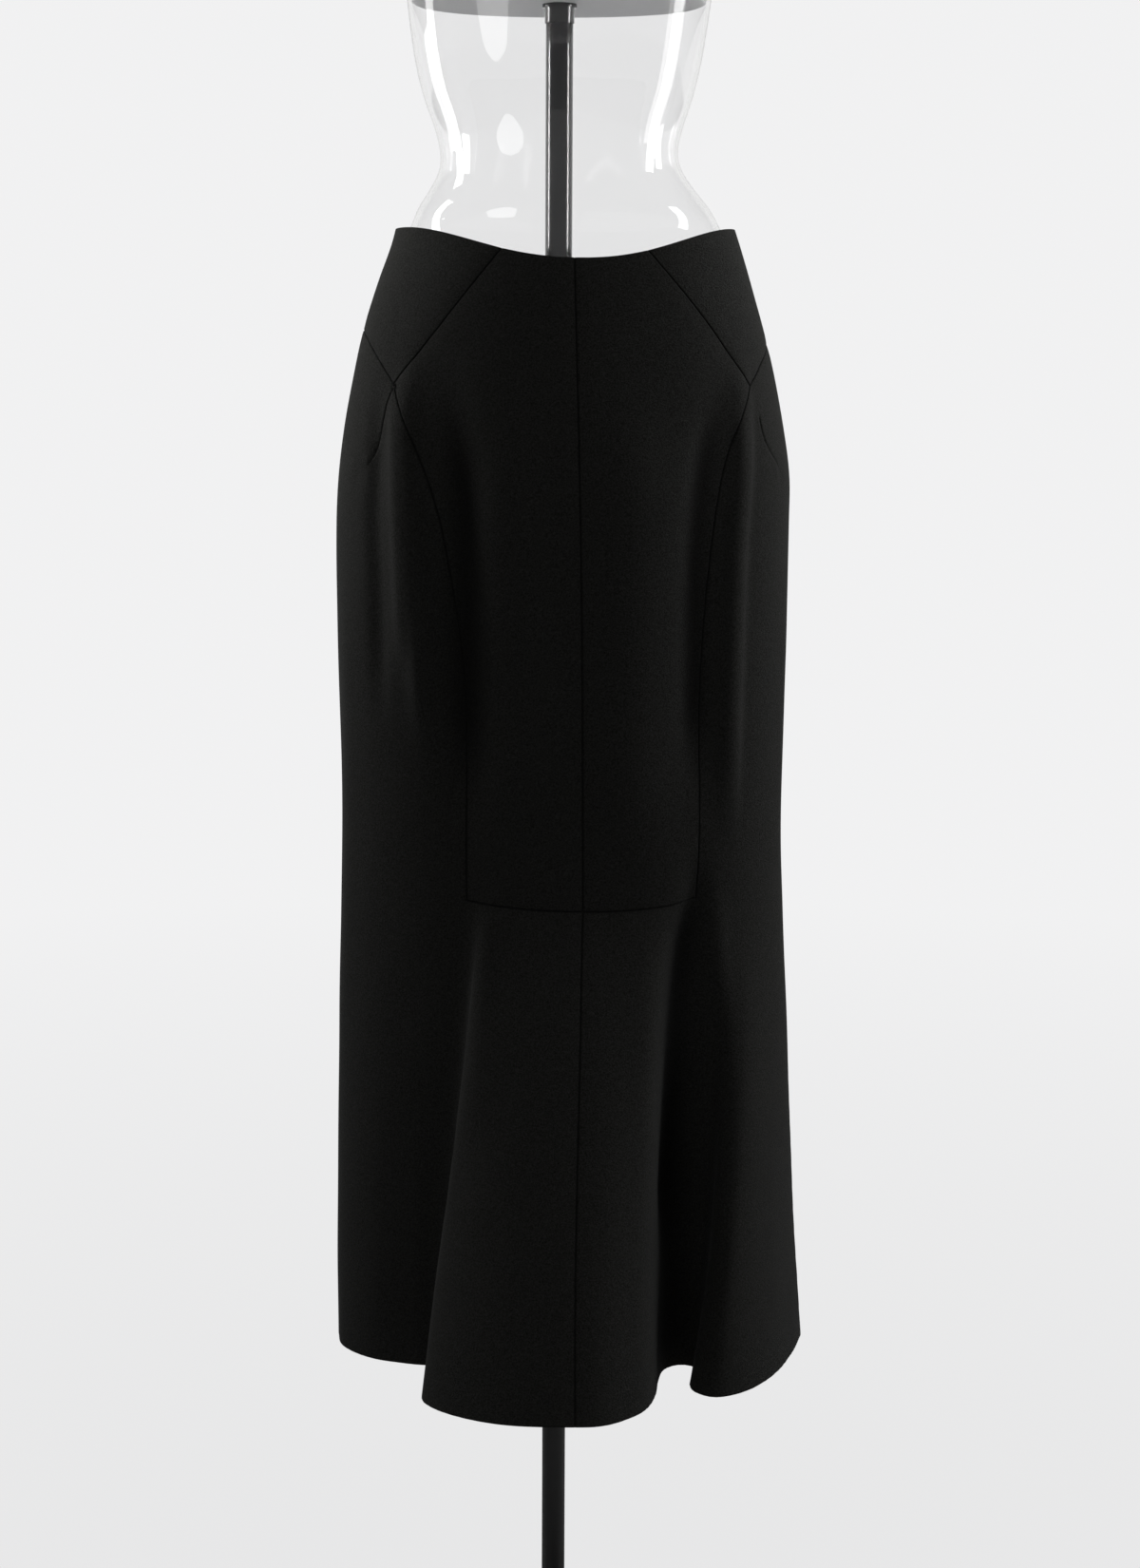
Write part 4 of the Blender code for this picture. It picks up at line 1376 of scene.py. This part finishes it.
@dataclass(frozen=True)
class Skirt:
    """All the cloth of the skirt."""

    shape: SkirtShape
    wool: bpy.types.Material
    back_cut: Cut = Cut(0.190, 0.570, 0.0655)
    yoke_cut: Cut = Cut(0.310, 0.140, 0.0262)
    side_cut: Cut = Cut(0.640, 0.930, 0.3390)
    front_cut: Cut = Cut(0.330, 0.980, 0.2210)

    def build(self) -> list[bpy.types.Object]:
        """Cut and hang the seven panels.

        Returns:
            The panels.
        """
        common = (self.shape, sewn_seams(self.shape), free_edges(self.shape), Relief(), self.wool)
        panels: list[ClothPanel] = []
        for side in Side:
            panels += [
                BackUpperPanel(*common, f"back_upper_{side.word}", self.back_cut, side=side),
                HipYoke(*common, f"hip_yoke_{side.word}", self.yoke_cut, side=side),
                SidePanel(*common, f"side_panel_{side.word}", self.side_cut, side=side),
            ]
        panels.append(FrontPanel(*common, "front_panel", self.front_cut))
        return [panel.build() for panel in panels]


@dataclass(frozen=True)
class DressForm:
    """The clear, limbless form that wears the skirt."""

    shape: SkirtShape
    plastic: bpy.types.Material
    wall: float = 0.003
    cloth: float = 0.0025
    columns: int = 192
    rows: int = 180
    crown_rise: float = 0.006
    crown: tuple = ((0.93, 0.45), (0.60, 0.90), (0.25, 0.99))

    def table(self) -> Curve:
        """Put together the form's sections, from its open bottom to its neck.

        Returns:
            Centre, half width, back, front and squareness by height above the floor.
        """
        rows = []
        for height, clearance in FORM_FIT:
            centre, half, back, front, squareness = self.shape.section(np.array(height))
            inset = self.cloth + clearance
            above_floor = self.shape.hem_height + height
            rows.append((above_floor, centre, half - inset, back - inset, front - inset, squareness))
        return Curve(tuple(rows) + FORM_UPPER)

    def build(self) -> bpy.types.Object:
        """Mould the shell.

        Returns:
            The piece, which stands for both halves of the form.
        """
        table = self.table()
        low, high = table.keys[0], table.keys[-1]
        mesh = bmesh.new()
        ring = bmesh.ops.create_circle(mesh, cap_ends=False, radius=1.0, segments=self.columns)["verts"]
        ring.sort(key=lambda vert: math.atan2(vert.co.x, -vert.co.y) % math.tau)
        self.set_ring(ring, table, low)
        for height in np.linspace(low, high, self.rows + 1)[1:]:
            ring = self.next_ring(mesh, ring)
            self.set_ring(ring, table, height)
        neck_half = table.values[-1][1]
        for size, rise in self.crown:
            ring = self.next_ring(mesh, ring)
            self.set_ring(ring, table, high, neck_half * (1 - size), self.crown_rise * rise)
        bmesh.ops.contextual_create(mesh, geom=ring)
        bmesh.ops.recalc_face_normals(mesh, faces=mesh.faces)
        self.face_out(mesh)
        form = link("dress_form_shell", mesh, self.plastic)
        wall(form, self.wall)
        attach(form, BODY)
        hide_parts("dress_form_back", "dress_form_front")
        LOG.info("%s: %d faces", form.name, len(form.data.polygons))
        return form

    def next_ring(self, mesh: bmesh.types.BMesh, ring: list[bmesh.types.BMVert]) -> list[bmesh.types.BMVert]:
        """Extrude a ring of points.

        Args:
            mesh: the shell so far.
            ring: its top ring, in order.

        Returns:
            The new ring, in the same order.
        """
        ring_set = set(ring)
        edges = {edge for vert in ring for edge in vert.link_edges if edge.other_vert(vert) in ring_set}
        bmesh.ops.extrude_edge_only(mesh, edges=list(edges))
        return [next(e.other_vert(v) for e in v.link_edges if e.other_vert(v) not in ring_set
                     and len(e.other_vert(v).link_edges) == 3) for v in ring]

    def set_ring(self, ring: list[bmesh.types.BMVert], table: Curve, height: float, inset: float = 0.0,
                 rise: float = 0.0) -> None:
        """Put a ring of points in place.

        Args:
            ring: the points, in order from centre back.
            table: the form's sections.
            height: the section's height.
            inset: how far inside the section the ring lies.
            rise: how far above it.
        """
        angles = np.linspace(0, 360, self.columns, endpoint=False)
        section = table.at(np.array(height)).copy()
        section[1:4] -= inset
        x, y = oval(np.broadcast_to(section, (len(angles), len(section))), angles)
        for vert, px, py in zip(ring, x, y):
            vert.co = (px, py, height + rise)

    def face_out(self, mesh: bmesh.types.BMesh) -> None:
        """Turn the faces outwards if they point in.

        Args:
            mesh: the shell.
        """
        mesh.normal_update()
        outward = sum(face.normal.xy.dot(face.calc_center_median().xy) for face in mesh.faces)
        if outward < 0:
            bmesh.ops.reverse_faces(mesh, faces=mesh.faces)


@dataclass(frozen=True)
class Stand:
    """The pole in two parts, its collar and socket, the plate that carries the form, and the round base."""

    gloss: bpy.types.Material
    satin: bpy.types.Material
    sheet: bpy.types.Material
    upper_radius: float = 0.01185
    lower_radius: float = 0.0105
    join: float = 0.860
    gap: float = 0.0003
    pole_edge: float = 0.0004
    plate_height: float = 1.489
    socket_radius: float = 0.0128
    socket_flange: float = 0.015
    socket_depth: float = 0.016
    socket_floor: float = 0.003
    socket_edge: float = 0.0002
    collar_radius: float = 0.0175
    collar_half: float = 0.026
    collar_edge: float = 0.0009
    base_radius: float = 0.160
    base_thickness: float = 0.008
    base_edge: float = 0.0012
    boss_radius: float = 0.022
    boss_height: float = 0.046
    boss_floor: float = 0.004
    segments: int = 96
    edge_segments: int = 3
    weld: float = 0.000001
    bevel_from: float = math.radians(30)
    sharp_from: float = math.radians(40)

    def turned(self, name: str, profile: list[tuple[float, float]], edge: float,
               material: bpy.types.Material) -> bpy.types.Object:
        """Turn a round piece about the pole and ease its edges.

        Args:
            name: the piece, whose node it replaces.
            profile: radius and height of its corners, closed in a loop.
            edge: the radius of its rounded edges.
            material: its finish.

        Returns:
            The piece.
        """
        mesh = bmesh.new()
        corners = [mesh.verts.new((radius, 0.0, height)) for radius, height in profile]
        on_axis = profile[0][0] == 0 and profile[-1][0] == 0
        after = corners[1:] if on_axis else corners[1:] + corners[:1]
        edges = [mesh.edges.new(pair) for pair in zip(corners, after)]
        bmesh.ops.spin(mesh, geom=corners + edges, cent=(0, 0, 0), axis=(0, 0, 1), angle=math.tau,
                       steps=self.segments, use_merge=True)
        bmesh.ops.remove_doubles(mesh, verts=mesh.verts, dist=self.weld)
        bmesh.ops.recalc_face_normals(mesh, faces=mesh.faces)
        mesh.normal_update()
        folded = [e for e in mesh.edges if len(e.link_faces) == 2 and e.calc_face_angle() > self.bevel_from]
        bmesh.ops.bevel(mesh, geom=folded, offset=edge, segments=self.edge_segments, profile=0.5,
                        affect="EDGES", material=-1)
        piece = link(f"{name}_finish", mesh, material)
        piece.data.set_sharp_from_angle(angle=self.sharp_from)
        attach(piece, BODY)
        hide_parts(name)
        LOG.info("%s: %d faces", piece.name, len(piece.data.polygons))
        return piece

    def rod(self, radius: float, low: float, high: float) -> list[tuple[float, float]]:
        """The profile of a plain round rod."""
        return [(0.0, low), (radius, low), (radius, high), (0.0, high)]

    def build(self) -> list[bpy.types.Object]:
        """Make all the pieces of the stand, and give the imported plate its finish.

        Returns:
            The new pieces.
        """
        top = self.plate_height - self.gap
        flange = top - self.socket_floor
        mouth = top - self.socket_depth
        collar_top, collar_foot = self.join + self.collar_half, self.join - self.collar_half
        bore, narrow = self.upper_radius + self.gap, self.lower_radius + self.gap
        upper = self.rod(self.upper_radius, self.join + self.gap, flange - self.gap)
        lower = self.rod(self.lower_radius, self.boss_floor + self.gap, self.join)
        socket = [
            (0.0, top), (self.socket_flange, top), (self.socket_flange, flange),
            (self.socket_radius, flange), (self.socket_radius, mouth), (bore, mouth), (bore, flange),
            (0.0, flange),
        ]
        collar = [
            (bore, collar_top), (self.collar_radius, collar_top), (self.collar_radius, collar_foot),
            (narrow, collar_foot), (narrow, self.join), (bore, self.join),
        ]
        base = [
            (narrow, self.boss_height), (self.boss_radius, self.boss_height),
            (self.boss_radius, self.base_thickness), (self.base_radius, self.base_thickness),
            (self.base_radius, 0.0), (0.0, 0.0), (0.0, self.boss_floor), (narrow, self.boss_floor),
        ]
        pieces = [
            self.turned("pole_upper", upper, self.pole_edge, self.gloss),
            self.turned("pole_lower", lower, self.pole_edge, self.satin),
            self.turned("pole_socket", socket, self.socket_edge, self.gloss),
            self.turned("pole_collar", collar, self.collar_edge, self.satin),
            self.turned("base", base, self.base_edge, self.satin),
        ]
        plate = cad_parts["support_plate"]
        plate.data.materials.clear()
        plate.data.materials.append(self.sheet)
        LOG.info("support_plate: the packed solid with its own finish")
        return pieces


class Rays(Enum):
    """What a studio light serves, as the one kind of ray that sees it.

    The pole's reflections pass out through the clear form, so they see a light as rays of transmission.
    """

    CLOTH = "diffuse"
    REFLECTION = "glossy"
    POLE = "transmission"


class Softbox(NamedTuple):
    """A soft light: its place, the point that it faces, its size and its power in watts."""

    name: str
    at: tuple[float, float, float]
    towards: tuple[float, float, float]
    width: float
    height: float
    power: float
    rays: Rays = Rays.CLOTH
    round: bool = False
    spread: float = math.pi


@dataclass(frozen=True)
class Studio:
    """The pale studio: floor, surroundings, lights and camera."""

    backdrop: tuple = (0.880, 0.880, 0.885)
    floor_colour: tuple = (0.35, 0.35, 0.352, 1.0)
    floor_roughness: float = 0.9
    floor_specular: float = 0.1
    floor_glow: tuple = (1.0, 1.0, 1.006, 1.0)
    floor_radius: float = 9.0
    floor_segments: int = 128
    floor_near: float = 0.800
    fade_start: float = 0.3
    fade_end: float = 4.0
    room_from: float = -0.6
    room_to: float = 0.7
    room_front: float = 0.03
    room_back: float = 0.30
    mirror_front: float = 0.25
    mirror_back: float = 0.86
    lights: tuple[Softbox, ...] = (
        Softbox("Left_high", (-0.80, 0.15, 1.58), (0.0, 0.0, 1.35), 0.40, 0.6, 5.8,
                spread=math.radians(150)),
        Softbox("Right_strip", (1.45, -0.10, 1.66), (0.0, 0.0, 1.25), 0.65, 1.5, 9.0),
        Softbox("Right_high", (0.95, 0.20, 1.60), (0.0, 0.0, 1.0), 0.40, 0.7, 7.2),
        Softbox("Front_high", (-0.80, -2.10, 2.30), (0.0, 0.0, 1.1), 0.80, 0.8, 7.5, round=True),
        Softbox("Front_top", (0.0, -2.00, 2.60), (0.0, 0.0, 1.0), 1.20, 0.8, 2.0),
        Softbox("Card_left", (-1.40, 0.24, 0.86), (0.0, 0.0, 0.86), 0.48, 1.08, 7.5, Rays.REFLECTION),
        Softbox("Card_right", (1.40, -0.28, 0.86), (0.0, 0.0, 0.86), 0.50, 1.08, 7.5, Rays.REFLECTION),
        Softbox("Card_octagon", (-1.52, -2.26, 1.37), (0.0, 0.0, 1.2), 1.05, 1.05, 11.0, Rays.REFLECTION,
                round=True),
        Softbox("Pole_card_left", (-1.40, 0.14, 1.60), (0.0, 0.0, 1.60), 0.30, 1.40, 17.0, Rays.POLE),
        Softbox("Pole_card_right", (1.40, -0.20, 1.60), (0.0, 0.0, 1.60), 0.30, 1.40, 17.0, Rays.POLE),
    )
    camera_at: tuple = (0.0122, -2.60, 1.1594)
    camera_pitch: float = math.atan2(0.35, 2.6)
    camera_roll: float = 0.00489
    camera_near: float = 0.05
    lens: float = 67.34
    sensor: float = 36.0

    def build(self) -> None:
        """Set up everything round the object."""
        bpy.context.scene.view_settings.view_transform = "Standard"
        self.world()
        self.floor()
        for light in self.lights:
            self.hang(light)
        self.camera()

    def world(self) -> None:
        """A pale backdrop, which reflections show as dim on the camera's side and cloth hardly sees."""
        world = bpy.data.worlds.new("Studio_room")
        bpy.context.scene.world = world
        world.use_nodes = True
        tree = world.node_tree
        shown = tree.nodes["Background"]
        shown.inputs["Color"].default_value = (*self.backdrop, 1)
        coordinates = tree.nodes.new("ShaderNodeTexCoord")
        axes = tree.nodes.new("ShaderNodeSeparateXYZ")
        tree.links.new(coordinates.outputs["Generated"], axes.inputs["Vector"])
        path = tree.nodes.new("ShaderNodeLightPath")
        mirrored = self.room(tree, axes.outputs["Y"], self.mirror_front, self.mirror_back)
        lit = self.room(tree, axes.outputs["Y"], self.room_front, self.room_back)
        unseen = self.either(tree, path.outputs["Is Glossy Ray"], mirrored, lit)
        both = self.either(tree, self.seen(tree), shown.outputs["Background"], unseen)
        tree.links.new(both, tree.nodes["World Output"].inputs["Surface"])

    def room(self, tree: bpy.types.NodeTree, along: bpy.types.NodeSocket, front: float,
             back: float) -> bpy.types.NodeSocket:
        """White surroundings whose strength changes from the camera's side to the far one.

        Args:
            tree: the world's nodes.
            along: how far each direction points away from the camera.
            front: the strength on the camera's side.
            back: the strength on the far side.

        Returns:
            The surroundings as a shader.
        """
        ramp = tree.nodes.new("ShaderNodeMapRange")
        ends = {"From Min": self.room_from, "From Max": self.room_to, "To Min": front, "To Max": back}
        for name, value in ends.items():
            ramp.inputs[name].default_value = value
        room = tree.nodes.new("ShaderNodeBackground")
        room.inputs["Color"].default_value = (1.0, 1.0, 1.0, 1.0)
        tree.links.new(along, ramp.inputs["Value"])
        tree.links.new(ramp.outputs["Result"], room.inputs["Strength"])
        return room.outputs["Background"]

    def either(self, tree: bpy.types.NodeTree, choice: bpy.types.NodeSocket, chosen: bpy.types.NodeSocket,
               other: bpy.types.NodeSocket) -> bpy.types.NodeSocket:
        """Choose between two shaders.

        Args:
            tree: the nodes to add to.
            choice: 1 or 0.
            chosen: the shader where the choice is 1.
            other: the shader where it is 0.

        Returns:
            The one that applies.
        """
        both = tree.nodes.new("ShaderNodeMixShader")
        tree.links.new(choice, both.inputs["Fac"])
        tree.links.new(other, both.inputs[1])
        tree.links.new(chosen, both.inputs[2])
        return both.outputs["Shader"]

    def seen(self, tree: bpy.types.NodeTree) -> bpy.types.NodeSocket:
        """Tell rays that show the backdrop, straight or through clear plastic, from those that light.

        Args:
            tree: the nodes to add to.

        Returns:
            1 for a ray that shows it, else 0.
        """
        path = tree.nodes.new("ShaderNodeLightPath")
        straight = self.maths(tree, "LESS_THAN", path.outputs["Glossy Depth"], 0.5)
        through = self.maths(tree, "MULTIPLY", path.outputs["Is Transmission Ray"], straight)
        return self.maths(tree, "MAXIMUM", path.outputs["Is Camera Ray"], through)

    def maths(self, tree: bpy.types.NodeTree, operation: str, first: bpy.types.NodeSocket,
              second: bpy.types.NodeSocket | float) -> bpy.types.NodeSocket:
        """Work out a value from two others.

        Args:
            tree: the nodes to add to.
            operation: what is done.
            first: the first value.
            second: the second value, as a socket or a number.

        Returns:
            The result.
        """
        node = tree.nodes.new("ShaderNodeMath")
        node.operation = operation
        tree.links.new(first, node.inputs[0])
        if isinstance(second, float):
            node.inputs[1].default_value = second
        else:
            tree.links.new(second, node.inputs[1])
        return node.outputs["Value"]

    def floor(self) -> None:
        """A wide pale floor that melts into the backdrop far from the object."""
        shader = Shader("Studio_floor")
        shader.set(Base_Color=self.floor_colour, Roughness=self.floor_roughness,
                   Specular_IOR_Level=self.floor_specular)
        length = shader.node("ShaderNodeVectorMath")
        length.operation = "LENGTH"
        shader.join(shader.coordinates(), length.inputs[0])
        fade = shader.node("ShaderNodeMapRange", From_Min=self.fade_start, From_Max=self.fade_end,
                           To_Min=self.floor_near, To_Max=self.backdrop[0])
        shader.join(length.outputs["Value"], fade.inputs["Value"])
        glow = shader.node("ShaderNodeEmission", Color=self.floor_glow)
        shader.join(fade.outputs["Result"], glow.inputs["Strength"])
        both = self.either(shader.tree, self.seen(shader.tree), glow.outputs["Emission"],
                           shader.principled.outputs["BSDF"])
        shader.join(both, shader.output.inputs["Surface"])
        mesh = bmesh.new()
        bmesh.ops.create_circle(mesh, cap_ends=True, radius=self.floor_radius, segments=self.floor_segments)
        floor = link("floor", mesh, shader.material)

    def hang(self, light: Softbox) -> None:
        """Hang a soft light, which the camera doesn't see.

        Args:
            light: the light.
        """
        lamp = bpy.data.lights.new(light.name, "AREA")
        lamp.shape = "ELLIPSE" if light.round else "RECTANGLE"
        lamp.size = light.width
        lamp.size_y = light.height
        lamp.energy = light.power
        lamp.spread = light.spread
        box = bpy.data.objects.new(light.name, lamp)
        box.location = light.at
        box.rotation_euler = (Vector(light.towards) - Vector(light.at)).to_track_quat("-Z", "Y").to_euler()
        box.visible_camera = False
        box.visible_diffuse = light.rays is Rays.CLOTH
        box.visible_glossy = light.rays is Rays.REFLECTION
        box.visible_transmission = light.rays is Rays.POLE
        bpy.context.scene.collection.objects.link(box)

    def camera(self) -> None:
        """Stand the camera where the photograph was taken from."""
        data = bpy.data.cameras.new("Camera")
        data.sensor_fit = "VERTICAL"
        data.sensor_height = self.sensor
        data.lens = self.lens
        data.clip_start = self.camera_near
        camera = bpy.data.objects.new("Camera", data)
        tilt = Matrix.Rotation(math.pi / 2 - self.camera_pitch, 4, "X")
        roll = Matrix.Rotation(self.camera_roll, 4, "Z")
        camera.matrix_world = Matrix.Translation(self.camera_at) @ tilt @ roll
        bpy.context.scene.collection.objects.link(camera)
        bpy.context.scene.camera = camera


def main() -> None:
    """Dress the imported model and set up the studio."""
    logging.basicConfig(level=logging.INFO, format="%(message)s")
    shape = SkirtShape()
    Skirt(shape, FeltedWool().build()).build()
    DressForm(shape, ClearPlastic().build()).build()
    gloss = Paint("Gloss_black_paint", (0.006, 0.006, 0.007, 1.0), 0.22, 0.8).build()
    satin = Paint("Satin_black_paint", (0.022, 0.022, 0.022, 1.0), 0.42, 0.1).build()
    Stand(gloss, satin, GreySheet().build()).build()
    Studio().build()


if __name__ == "__main__":
    main()
